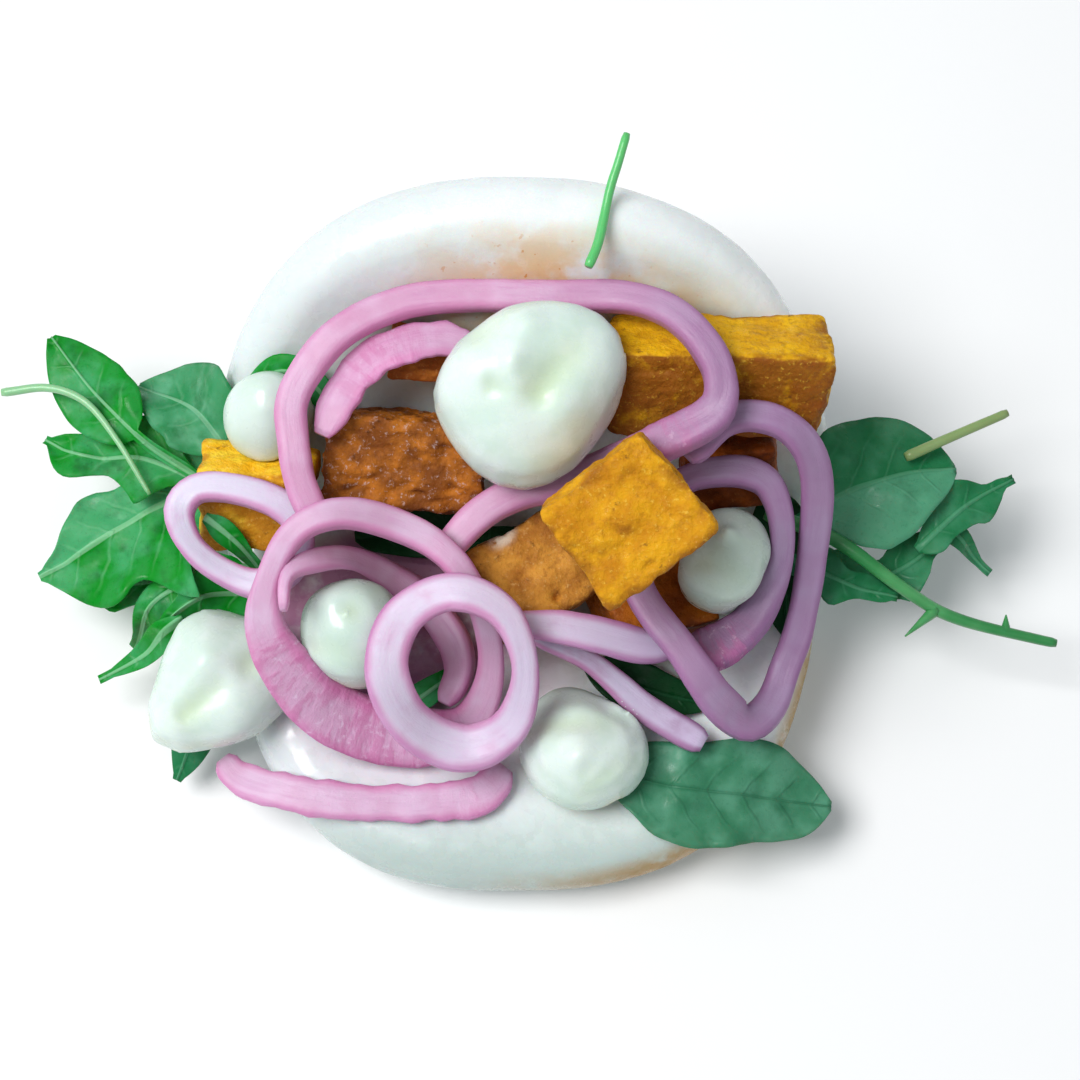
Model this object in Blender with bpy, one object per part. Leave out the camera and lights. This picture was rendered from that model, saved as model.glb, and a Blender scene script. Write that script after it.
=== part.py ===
"""A gua bao: a steamed bun folded round fried squash, pickled onion, salad leaves and cream.

The bun lies on its lower half and its lid leans back. The filling is laid on it piece by
piece, from the bottom of the heap to the top, and each piece comes to rest on what is
below it. Plan positions are in millimetres, X to the right, Y to the back, Z up, with the
origin on the flat underside of the bun, and heights come from what lies below.
"""
import math
import random

import bmesh
import bpy
import numpy as np
from mathutils import Matrix, Vector, noise
from mathutils.bvhtree import BVHTree

MM = 0.001
GAP = 0.3 * MM
SKY = 0.2
FEELING_STEP = 0.6 * MM
FACE_SHARES = ((1, 0, 0), (0, 1, 0), (0, 0, 1), (0.5, 0.5, 0), (0.5, 0, 0.5), (0, 0.5, 0.5),
               (1 / 3, 1 / 3, 1 / 3), (0.6, 0.2, 0.2), (0.2, 0.6, 0.2), (0.2, 0.2, 0.6))

# The bun, as rolled out flat and then folded across its middle
BUN_WIDTH = 93 * MM
BUN_LENGTH = 116 * MM
BUN_THICKNESS = 13 * MM
BUN_OUTLINE_POWER = 2.5
BUN_DISH = 1.4 * MM
BUN_FLAT_LENGTH = 55.5 * MM
BUN_FLATTENED = 0.45 * MM
BUN_FRONT_Y = -51 * MM
BUN_MIDDLE_X = -1.5 * MM
FOLD_START = 53.5 * MM
FOLD_RADIUS = 10 * MM
LID_ANGLE = math.radians(50)
BUN_RIM_START = math.radians(42)
BUN_WOBBLES = ((3, 0.008, 0.6), (5, 0.006, 0.0))
BUN_SEGMENTS = 52
BUN_RINGS = 18

# Pickled onion: a layer of a cut slice, a soft band wider than it is thick. A point of a
# band's path is x, y and, where they differ from these, its width, thickness and twist.
ONION_BAND = (4.6, 3.6, 0.0)
ONION_SIDES = 8
ONION_SECTION_POWER = 2.5
ONION_STEP = 4.2 * MM
ONION_SAG = 0.4 * MM
SETTLING = 30
END_DROOP = 2.0 * MM
UNDERSIDE_SAMPLES = 7
SIDE_MARGIN = 0.3 * MM

# Fried squash: cut blocks whose edges and faces have puffed and crisped
SQUASH_EDGE_POWER = 10
SQUASH_GRID = (-1.0, -0.7, 0.0, 0.7, 1.0)
SQUASH_LONG_GRID = (-1.0, -0.8, -0.35, 0.35, 0.8, 1.0)
SQUASH_CROOKED = 0.09
SQUASH_CRAG = 0.45 * MM
SQUASH_CRAG_SIZE = 4.5 * MM

# Cream, piped in dollops: a dome with a small peak, and a rounded seat below. The peak is
# its height and width, and the tier its height and depth, as shares of the dome.
CREAM_SEGMENTS = 24
CREAM_RINGS = 12
CREAM_RING_SPREAD = 1.5
CREAM_DOME_POWER = 0.9
CREAM_PEAK = (0.10, 0.16)
CREAM_TIER = (0.55, 0.12)
CREAM_SEAT_POWER = 6
CREAM_SKIN = 2.0 * MM
CREAM_CLIMB = 0.05
CREAM_MARGIN = 0.6 * MM
CREAM_STEP = 3.0 * MM
CREAM_DRAW = 0.05
CREAM_EVENNESS = 0.1
CREAM_TRIES = 10

# Leaves and their stalks
LEAF_THICKNESS = 0.7 * MM
LEAF_LENGTH_CELLS = 10
LEAF_WIDTH_CELLS = 4
LEAF_MARGIN = 0.7 * MM
LEAF_LEAST_HALF = 0.7
LEAF_RIB_STEP = 1.0 * MM
LEAF_SIDE_LAG = 1.3
LEAF_EASING = 3
LEAF_CREASE = 0.3 * MM
STALK_STEP = 5 * MM
STALK_ROUNDNESS = 1

COLOURS = {
    "bun": "#EAF3EE",
    "onion": "#D99CC6",
    "squash": "#E9A01C",
    "squash_dark": "#93501C",
    "cream": "#E0EFDF",
    "leaf": "#128A30",
    "leaf_pale": "#3F9A5C",
    "leaf_deep": "#1C6644",
    "stalk": "#7DB860",
}

filling = bpy.data.collections.new("gua_bao")


def clear_scene():
    for old in list(bpy.data.objects):
        bpy.data.objects.remove(old, do_unlink=True)
    bpy.context.scene.collection.children.link(filling)


def linear(hex_colour):
    """Linear RGBA of a colour written as #RRGGBB."""
    parts = [int(hex_colour[i:i + 2], 16) / 255 for i in (1, 3, 5)]
    return [c / 12.92 if c < 0.04045 else ((c + 0.055) / 1.055) ** 2.4 for c in parts] + [1.0]


def finish(obj, colour, roughness):
    """Give a piece its own material and put it with the others."""
    paint = bpy.data.materials.new(obj.name)
    paint.use_nodes = True
    shader = paint.node_tree.nodes["Principled BSDF"]
    shader.inputs["Base Color"].default_value = linear(COLOURS[colour])
    shader.inputs["Roughness"].default_value = roughness
    obj.data.materials.append(paint)
    filling.objects.link(obj)


class Pile:
    """The surface of everything laid down so far, felt from straight above."""

    def __init__(self):
        self.points = []
        self.faces = []
        self.tree = None

    def add(self, obj):
        bpy.context.view_layer.update()
        shape = obj.evaluated_get(bpy.context.evaluated_depsgraph_get())
        mesh = shape.to_mesh()
        start = len(self.points)
        self.points += [obj.matrix_world @ v.co for v in mesh.vertices]
        self.faces += [[start + i for i in face.vertices] for face in mesh.polygons]
        shape.to_mesh_clear()
        self.tree = BVHTree.FromPolygons(self.points, self.faces)

    def height(self, x, y):
        hit = self.tree.ray_cast(Vector((x, y, SKY)), Vector((0, 0, -1)))[0]
        return hit.z if hit else 0.0

    def highest(self, x, y, reach):
        """The highest point within a small square round (x, y)."""
        steps = (-reach, 0, reach)
        return max(self.height(x + dx, y + dy) for dx in steps for dy in steps)


pile = Pile()


def smooth_path(points, closed, step):
    """Points evenly spaced in plan, in metres, on a Catmull-Rom curve through points in millimetres."""
    knots = [np.array(p, dtype=float) * MM for p in points]
    ends = (knots[-1], knots[0], knots[1]) if closed else (
        2 * knots[0] - knots[1], knots[-1], 2 * knots[-1] - knots[-2])
    ring = [ends[0]] + knots + ([ends[1], ends[2]] if closed else [ends[2]])
    fine = []
    for before, a, b, after in zip(ring, ring[1:], ring[2:], ring[3:]):
        for t in np.linspace(0, 1, 16, endpoint=False):
            fine.append(0.5 * (2 * a + (b - before) * t
                               + (2 * before - 5 * a + 4 * b - after) * t ** 2
                               + (3 * a - before - 3 * b + after) * t ** 3))
    fine.append(knots[0] if closed else knots[-1])
    fine = np.array(fine)
    travelled = np.concatenate([[0], np.cumsum(np.linalg.norm(np.diff(fine[:, :2], axis=0), axis=1))])
    count = max(int(round(travelled[-1] / step)), 3)
    marks = np.linspace(0, travelled[-1], count + 1)
    if closed:
        marks = marks[:-1]
    return np.stack([np.interp(marks, travelled, fine[:, k]) for k in range(fine.shape[1])], axis=1)


def directions(points, closed):
    """Unit vectors along the path in plan."""
    plan = points[:, :2]
    along = np.roll(plan, -1, axis=0) - np.roll(plan, 1, axis=0) if closed else np.gradient(plan, axis=0)
    return along / np.linalg.norm(along, axis=1)[:, None]


def band_section(width, thickness, twist, sides=ONION_SIDES):
    """Rounded oblong section of a band as (across, up) pairs, turned by its twist in degrees."""
    pairs = []
    c_twist, s_twist = math.cos(math.radians(twist)), math.sin(math.radians(twist))
    for i in range(sides):
        angle = 2 * math.pi * (i + 0.5) / sides
        c, s = math.cos(angle), math.sin(angle)
        reach = (abs(c) ** ONION_SECTION_POWER + abs(s) ** ONION_SECTION_POWER) ** (-1 / ONION_SECTION_POWER)
        across, up = width / 2 * reach * c, thickness / 2 * reach * s
        pairs.append((across * c_twist - up * s_twist, across * s_twist + up * c_twist))
    return pairs


def underside(section):
    """Lower edge of a section, as (across, up) pairs from one side to the other."""
    left, right = min(a for a, u in section), max(a for a, u in section)
    edges = list(zip(section, section[1:] + section[:1]))
    pairs = []
    for across in np.linspace(left, right, UNDERSIDE_SAMPLES):
        lowest = math.inf
        for (a0, u0), (a1, u1) in edges:
            if min(a0, a1) - 1e-9 <= across <= max(a0, a1) + 1e-9 and abs(a1 - a0) > 1e-9:
                lowest = min(lowest, u0 + (u1 - u0) * (across - a0) / (a1 - a0))
        pairs.append((across, lowest))
    return [(pairs[0][0] - SIDE_MARGIN, pairs[0][1])] + pairs + [(pairs[-1][0] + SIDE_MARGIN, pairs[-1][1])]


def neighbours(values, closed):
    """The values before and after each one along a path."""
    if closed:
        return np.roll(values, 1, axis=0), np.roll(values, -1, axis=0)
    return np.concatenate([values[:1], values[:-1]]), np.concatenate([values[1:], values[-1:]])


def resting_heights(points, sections, closed, sag=ONION_SAG):
    """Heights of a band's middle line, so that it clears the pile and sags between high spots."""
    along = directions(points, closed)
    needed = np.zeros(len(points))
    before, after = neighbours(points, closed)
    for i, section in enumerate(sections):
        side = np.array([-along[i][1], along[i][0]])
        for other, share in ((before, 0.5), (before, 0.25), (before, 0), (after, 0.25), (after, 0.5)):
            middle = points[i][:2] + share * (other[i][:2] - points[i][:2])
            for across, up in underside(section):
                needed[i] = max(needed[i], pile.height(*(middle + side * across)) - up + GAP)
    heights = np.maximum(needed, np.maximum(*neighbours(needed, closed)))
    least = heights.copy()
    for _ in range(SETTLING):
        low, high = neighbours(heights, closed)
        mean = (low + high) / 2 - sag
        if not closed:
            mean[0] = heights[1] - END_DROOP
            mean[-1] = heights[-2] - END_DROOP
        heights = np.maximum(least, mean)
    low, high = neighbours(heights, closed)
    return (low + 2 * heights + high) / 4


def lay_onion(name, path, closed=True, sag=ONION_SAG, step=ONION_STEP):
    """Lay a band of onion along a path in plan, as a loft of its changing section."""
    points = smooth_path([tuple(p) + ONION_BAND[len(p) - 2:] for p in path], closed, step)
    sections = [band_section(width, thickness, twist / MM) for x, y, width, thickness, twist in points]
    heights = resting_heights(points, sections, closed, sag)
    along = directions(points, closed)
    bm = bmesh.new()
    rings = []
    for (x, y), way, z, section in zip(points[:, :2], along, heights, sections):
        rings.append([bm.verts.new((x - way[1] * across, y + way[0] * across, z + up)) for across, up in section])
    for ring, ahead in zip(rings, rings[1:] + (rings[:1] if closed else [])):
        for k in range(ONION_SIDES):
            j = (k + 1) % ONION_SIDES
            bm.faces.new((ring[k], ring[j], ahead[j], ahead[k]))
    if not closed:
        bm.faces.new(rings[0])
        bm.faces.new(rings[-1])
    bmesh.ops.triangulate(bm, faces=bm.faces[:])
    bmesh.ops.recalc_face_normals(bm, faces=bm.faces[:])
    mesh = bpy.data.meshes.new(name)
    bm.to_mesh(mesh)
    bm.free()
    mesh.shade_smooth()
    obj = bpy.data.objects.new(name, mesh)
    finish(obj, "onion", 0.35)
    pile.add(obj)


def lay_stalk(name, path, diameter, taper=0.5, colour="stalk"):
    """Lay a round stalk through (x, y, z) points, lifted where the pile is higher."""
    points = smooth_path(path, False, STALK_STEP)
    scale = np.linspace(1, taper, len(points))
    sections = [[(a * size, u * size) for a, u in band_section(diameter * MM, diameter * MM, 0)] for size in scale]
    heights = np.maximum(points[:, 2], resting_heights(points, sections, False, sag=math.inf))
    data = bpy.data.curves.new(name, "CURVE")
    data.dimensions = "3D"
    data.bevel_depth = diameter * MM / 2
    data.bevel_resolution = STALK_ROUNDNESS
    data.use_fill_caps = True
    spline = data.splines.new("POLY")
    spline.points.add(len(points) - 1)
    for point, spot, z, size in zip(spline.points, points, heights, scale):
        point.co = (spot[0], spot[1], z, 1)
        point.radius = size
    obj = bpy.data.objects.new(name, data)
    finish(obj, colour, 0.4)
    pile.add(obj)


def lay_squash(name, centre, size, turn, seed, colour="squash", cuts=SQUASH_GRID):
    """Drop a fried block onto the pile, turned about its own Z, then Y, then tipped back about X."""
    rng = random.Random(seed)
    half = Vector(size) * MM / 2
    corners = {(a, b, c): Vector([rng.uniform(-1, 1) * SQUASH_CROOKED for _ in range(3)])
               for a in (-1, 1) for b in (-1, 1) for c in (-1, 1)}
    bm = bmesh.new()
    bmesh.ops.create_cube(bm, size=2.0)
    bmesh.ops.subdivide_edges(bm, edges=bm.edges[:], cuts=len(cuts) - 2, use_grid_fill=True)
    steps = np.linspace(-1, 1, len(cuts))
    for vert in bm.verts:
        spot = Vector([float(np.interp(c, steps, cuts)) for c in vert.co])
        reach = sum(abs(c) ** SQUASH_EDGE_POWER for c in spot) ** (1 / SQUASH_EDGE_POWER)
        spot /= max(reach, 1)
        pull = Vector((0, 0, 0))
        for corner, shift in corners.items():
            weight = math.prod((1 + a * b) / 2 for a, b in zip(corner, spot))
            pull += shift * weight
        spot += pull
        place = Vector([a * b for a, b in zip(spot, half)])
        crag = noise.noise(place / SQUASH_CRAG_SIZE + Vector((seed * 3.1, 0, 0)))
        vert.co = place * (1 + crag * SQUASH_CRAG / half.length)
        vert.co += place.normalized() * crag * SQUASH_CRAG
    bmesh.ops.triangulate(bm, faces=bm.faces[:])
    mesh = bpy.data.meshes.new(name)
    bm.to_mesh(mesh)
    bm.free()
    obj = bpy.data.objects.new(name, mesh)
    obj.location = (centre[0] * MM, centre[1] * MM, 0)
    obj.rotation_mode = "ZYX"
    obj.rotation_euler = [math.radians(a) for a in turn]
    finish(obj, colour, 0.5)
    bpy.context.view_layer.update()
    obj.location.z = drop_height(obj)
    pile.add(obj)


def drop_height(obj):
    """How far up a piece must stand so that its underside just clears the pile."""
    points = [obj.matrix_world @ v.co for v in obj.data.vertices]
    own = BVHTree.FromPolygons(points, [list(face.vertices) for face in obj.data.polygons])
    low = [min(p[k] for p in points) for k in range(2)]
    high = [max(p[k] for p in points) for k in range(2)]
    spots = [(p.x, p.y) for p in points]
    spots += [(p.x, p.y) for p in pile.points if low[0] < p.x < high[0] and low[1] < p.y < high[1]]
    spots += [(x, y) for x in np.arange(low[0], high[0], FEELING_STEP)
              for y in np.arange(low[1], high[1], FEELING_STEP)]
    rise = -1.0
    for x, y in spots:
        under = own.ray_cast(Vector((x, y, -SKY)), Vector((0, 0, 1)))[0]
        if under:
            rise = max(rise, pile.height(x, y) - under.z + GAP)
    return rise


def face_spots(face):
    """Points on a triangle with the share that each corner has in them."""
    a, b, c = [v.co for v in face.verts]
    for wa, wb, wc in FACE_SHARES:
        yield a * wa + b * wb + c * wc, zip(face.verts, (wa, wb, wc))


def lift_clear(bm, margin=0.0, rounds=6):
    """Raise the corners of faces that dip into the pile, and say how far each one went."""
    raised = {}
    for _ in range(rounds):
        rise = {}
        for face in bm.faces:
            for spot, corners in face_spots(face):
                short = pile.highest(spot.x, spot.y, margin) + GAP - spot.z
                if short > 0:
                    for vert, weight in corners:
                        if weight > 0:
                            rise[vert] = max(rise.get(vert, 0), short)
        if not rise:
            break
        for vert, amount in rise.items():
            vert.co.z += amount * 1.02
            raised[vert] = raised.get(vert, 0) + amount
    return raised


def dome(share):
    """Height of a dollop's top at a share of its radius, with a small peak in the middle."""
    round_top = math.sqrt(max(1 - share * share, 0)) ** CREAM_DOME_POWER
    return round_top + CREAM_PEAK[0] * math.exp(-(share / CREAM_PEAK[1]) ** 2)


def smooth_round(values, limit):
    """Values round a dollop, made to differ little from one to the next."""
    for _ in range(2):
        values = np.minimum(values, np.minimum(np.roll(values, 1), np.roll(values, -1)) + limit)
    return (np.roll(values, 1) + 2 * values + np.roll(values, -1)) / 4


def pipe_cream(name, centre, radii, height, turn=0.0, tip=(0.0, 0.0), lobes=(), tiers=0.0,
               pull=None, slope=0.0, sink=3.0):
    """A dollop that spreads over what it lands on.

    centre is x, y and the level of its widest line, radii are those of its oval outline in
    plan, height is that of its dome, and tip is where its peak leans. lobes are (how many,
    how deep, at what angle) waves of the outline, tiers the depth of the step between its
    two swirls, and pull is an (angle, length, spread) tail. slope is its rise towards the
    back, and sink how far it sags into hollows. Its top and underside share one plan, and
    where something tall stands beside it, its outline draws in until it is clear.
    """
    middle = Vector((centre[0] * MM, centre[1] * MM))
    spin = math.radians(turn)
    lean = Vector(tip) * MM

    def outline(angle):
        swell = 1 + sum(deep * math.cos(many * (angle - math.radians(at))) for many, deep, at in lobes)
        spot = Vector((radii[0] * swell * math.cos(angle - spin), radii[1] * swell * math.sin(angle - spin))) * MM
        spot.rotate(Matrix.Rotation(spin, 2))
        if pull:
            gap = (angle - math.radians(pull[0]) + math.pi) % (2 * math.pi) - math.pi
            reach = pull[1] * MM * math.exp(-(gap / math.radians(pull[2])) ** 2)
            spot += Vector((math.cos(angle), math.sin(angle))) * reach
        return spot

    def level(spot, rise):
        return (centre[2] + height * rise) * MM + slope * (spot.y - middle.y)

    bm = bmesh.new()
    bmesh.ops.create_uvsphere(bm, u_segments=CREAM_SEGMENTS, v_segments=CREAM_RINGS, radius=1.0)
    bmesh.ops.delete(bm, geom=[v for v in bm.verts if v.co.z < -0.01], context="VERTS")
    bmesh.ops.triangulate(bm, faces=bm.faces[:])
    half = bm.verts[:] + bm.edges[:] + bm.faces[:]
    bmesh.ops.mirror(bm, geom=half, matrix=Matrix(), merge_dist=1e-4, axis="Z")
    bmesh.ops.recalc_face_normals(bm, faces=bm.faces[:])
    ball = [(v, math.acos(max(-1, min(1, v.co.z))), math.atan2(v.co.y, v.co.x)) for v in bm.verts]
    segment = {v: int(round(angle / (2 * math.pi) * CREAM_SEGMENTS)) % CREAM_SEGMENTS for v, polar, angle in ball}
    share_of = {v: 1 - abs(1 - 2 * polar / math.pi) ** CREAM_RING_SPREAD for v, polar, angle in ball}
    free = np.ones(CREAM_SEGMENTS)
    for i in range(CREAM_SEGMENTS):
        edge = outline(2 * math.pi * i / CREAM_SEGMENTS)
        for share in np.arange(0.4, 1.01, 0.05):
            spot = middle + edge * share
            if pile.highest(spot.x, spot.y, CREAM_MARGIN) > level(spot, CREAM_CLIMB + dome(share)):
                free[i] = share - 0.05
                break
    for _ in range(CREAM_TRIES):
        free = smooth_round(free, CREAM_EVENNESS)
        for vert, polar, angle in ball:
            share = share_of[vert]
            rise = dome(share)
            step = tiers * math.exp(-((rise - CREAM_TIER[0]) / CREAM_TIER[1]) ** 2)
            spot = middle + outline(angle) * (share - step) * free[segment[vert]] + lean * rise ** 3
            floor = pile.highest(spot.x, spot.y, SIDE_MARGIN)
            under = max(floor + GAP, level(spot, 0) - sink * (1 - share ** CREAM_SEAT_POWER) * MM)
            if polar <= math.pi / 2 + 0.01:
                vert.co = (spot.x, spot.y, max(level(spot, rise), under + CREAM_SKIN * cap(polar)))
            else:
                vert.co = (spot.x, spot.y, under)
        tight = lift_clear(bm, margin=SIDE_MARGIN)
        blocked = [segment[v] for v, amount in tight.items() if amount > CREAM_STEP and share_of[v] > 0.7]
        if not blocked:
            break
        for i in set(blocked):
            free[i] -= CREAM_DRAW
    under = {(segment[v], round(share_of[v], 3)): v for v, polar, angle in ball if polar > math.pi / 2 + 0.01}
    for vert, polar, angle in ball:
        below = under.get((segment[vert], round(share_of[vert], 3)))
        if below and polar < math.pi / 2 - 0.01:
            vert.co.z = max(vert.co.z, below.co.z + CREAM_SKIN * cap(polar))
    mesh = bpy.data.meshes.new(name)
    bm.to_mesh(mesh)
    bm.free()
    mesh.shade_smooth()
    obj = bpy.data.objects.new(name, mesh)
    finish(obj, "cream", 0.3)
    pile.add(obj)


def cap(polar):
    """1 on top of a dollop, falling to 0 at its widest line."""
    return max(math.cos(polar), 0.0)


def leaf_width(kind, t):
    """Half width along a leaf, as a share of its widest."""
    if kind == "round":
        return max(math.sin(math.pi * t ** 0.8), 0) ** 0.6
    if kind == "blade":
        return max(math.sin(math.pi * t ** 0.7), 0) ** 0.9
    if kind == "blunt":
        return (1 - abs(2 * t - 1) ** 3) ** 0.7
    return max(math.sin(math.pi * t ** 0.75), 0) ** 0.75


def lay_leaf(name, rib, width, kind="round", lobes=(0, 0.0, 0.0), fold=0.0, ripple=0.0,
             waves=2.0, twist=0.0, phase=0.0, bare=0.0, lean=0.0, colour="leaf"):
    """Lay a leaf along its midrib, (x, y, z) points in millimetres.

    width is its full width, lobes are (how many, how deep, shift between the sides), fold
    raises both edges, twist raises one and lowers the other, and ripple waves the edges. The
    share of its length given by bare is stalk, and lean makes its left side wider than its right.
    """
    points = smooth_path(rib, False, LEAF_RIB_STEP)
    count = len(points) - 1
    bm = bmesh.new()
    bmesh.ops.create_grid(bm, x_segments=LEAF_LENGTH_CELLS, y_segments=LEAF_WIDTH_CELLS, size=0.5)
    side = directions(points, False)
    for vert in bm.verts:
        t = vert.co.x + 0.5
        v = vert.co.y * 2
        at = t * count
        spot = [float(np.interp(at, range(count + 1), points[:, k])) for k in range(3)]
        way = [float(np.interp(at, range(count + 1), side[:, k])) for k in range(2)]
        many, deep, shift = lobes
        lobe = 1 + deep * math.cos(2 * math.pi * many * (t + shift * (v > 0)) + phase) * abs(v)
        blade = leaf_width(kind, max(t - bare, 0) / (1 - bare))
        half = max(width / 2 * blade * lobe * (1 + math.copysign(lean, v)), LEAF_LEAST_HALF) * MM
        z = spot[2] + fold * MM * abs(v) ** 1.5 * blade + twist * MM * v * t
        z += ripple * MM * abs(v) * v * v * math.sin(2 * math.pi * waves * t + phase + (LEAF_SIDE_LAG if v > 0 else 0))
        vert.co = (spot[0] - way[1] * v * half, spot[1] + way[0] * v * half, z)
    bmesh.ops.triangulate(bm, faces=bm.faces[:])
    lift_clear(bm, margin=LEAF_MARGIN)
    for _ in range(LEAF_EASING):
        around = {v: sum(e.other_vert(v).co.z for e in v.link_edges) / len(v.link_edges) for v in bm.verts}
        for vert, mean in around.items():
            vert.co.z = max(vert.co.z, mean - LEAF_CREASE)
    top = bmesh.ops.extrude_face_region(bm, geom=bm.faces[:], use_keep_orig=True)["geom"]
    bmesh.ops.translate(bm, verts=[g for g in top if isinstance(g, bmesh.types.BMVert)],
                        vec=(0, 0, LEAF_THICKNESS))
    bmesh.ops.triangulate(bm, faces=bm.faces[:])
    bmesh.ops.recalc_face_normals(bm, faces=bm.faces[:])
    mesh = bpy.data.meshes.new(name)
    bm.to_mesh(mesh)
    bm.free()
    obj = bpy.data.objects.new(name, mesh)
    finish(obj, colour, 0.45)
    pile.add(obj)


def middle_layer(s):
    """Where the bun's middle layer runs, s metres from its front rim: y, z and its slope."""
    bend = FOLD_RADIUS * LID_ANGLE
    slope = min(max((s - FOLD_START) / FOLD_RADIUS, 0), LID_ANGLE)
    flat = min(s, FOLD_START)
    lid = max(s - FOLD_START - bend, 0)
    y = BUN_FRONT_Y + flat + FOLD_RADIUS * math.sin(slope) + lid * math.cos(slope)
    z = BUN_THICKNESS / 2 + FOLD_RADIUS * (1 - math.cos(slope)) + lid * math.sin(slope)
    return y, z, slope


def make_bun():
    """An oval of dough with a full round rim, folded over at its middle."""
    bm = bmesh.new()
    bmesh.ops.create_uvsphere(bm, u_segments=BUN_SEGMENTS, v_segments=BUN_RINGS, radius=1.0)
    half = BUN_THICKNESS / 2
    for vert in bm.verts:
        polar = math.acos(max(-1, min(1, vert.co.z)))
        angle = math.atan2(vert.co.y, vert.co.x)
        c, s = math.cos(angle), math.sin(angle)
        power = BUN_OUTLINE_POWER
        reach = (abs(2 * c / BUN_WIDTH) ** power + abs(2 * s / BUN_LENGTH) ** power) ** (-1 / power)
        reach *= 1 + sum(deep * math.sin(many * angle + at) for many, deep, at in BUN_WOBBLES)
        if polar < BUN_RIM_START:
            share = polar / BUN_RIM_START
            radius = (reach - half) * share
            height = half - BUN_DISH * (1 - share ** 3)
        elif polar > math.pi - BUN_RIM_START:
            radius = (reach - half) * (math.pi - polar) / BUN_RIM_START
            height = -half
        else:
            round_angle = (polar - BUN_RIM_START) / (math.pi - 2 * BUN_RIM_START) * math.pi
            radius = reach - half + half * math.sin(round_angle)
            height = half * math.cos(round_angle)
        vert.co = (radius * c, radius * s, height)
    under = [f for f in bm.faces if all(v.co.z <= -half for v in f.verts)]
    near = {g for f in under for g in (f, *f.edges, *f.verts)}
    bmesh.ops.bisect_plane(bm, geom=list(near), plane_co=(0, BUN_FLAT_LENGTH - BUN_LENGTH / 2, 0),
                           plane_no=(0, 1, 0))
    for vert in bm.verts:
        x, along, height = vert.co
        y, z, slope = middle_layer(BUN_LENGTH / 2 + along)
        vert.co = (BUN_MIDDLE_X + x, y - height * math.sin(slope), z + height * math.cos(slope))
    bmesh.ops.triangulate(bm, faces=bm.faces[:])
    for vert in bm.verts:
        if vert.co.z < BUN_FLATTENED:
            vert.co.z = 0.0
    bmesh.ops.dissolve_faces(bm, faces=[f for f in bm.faces if all(v.co.z == 0 for v in f.verts)])
    mesh = bpy.data.meshes.new("bun")
    bm.to_mesh(mesh)
    bm.free()
    mesh.shade_smooth()
    obj = bpy.data.objects.new("bun", mesh)
    finish(obj, "bun", 0.6)
    pile.add(obj)


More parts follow.
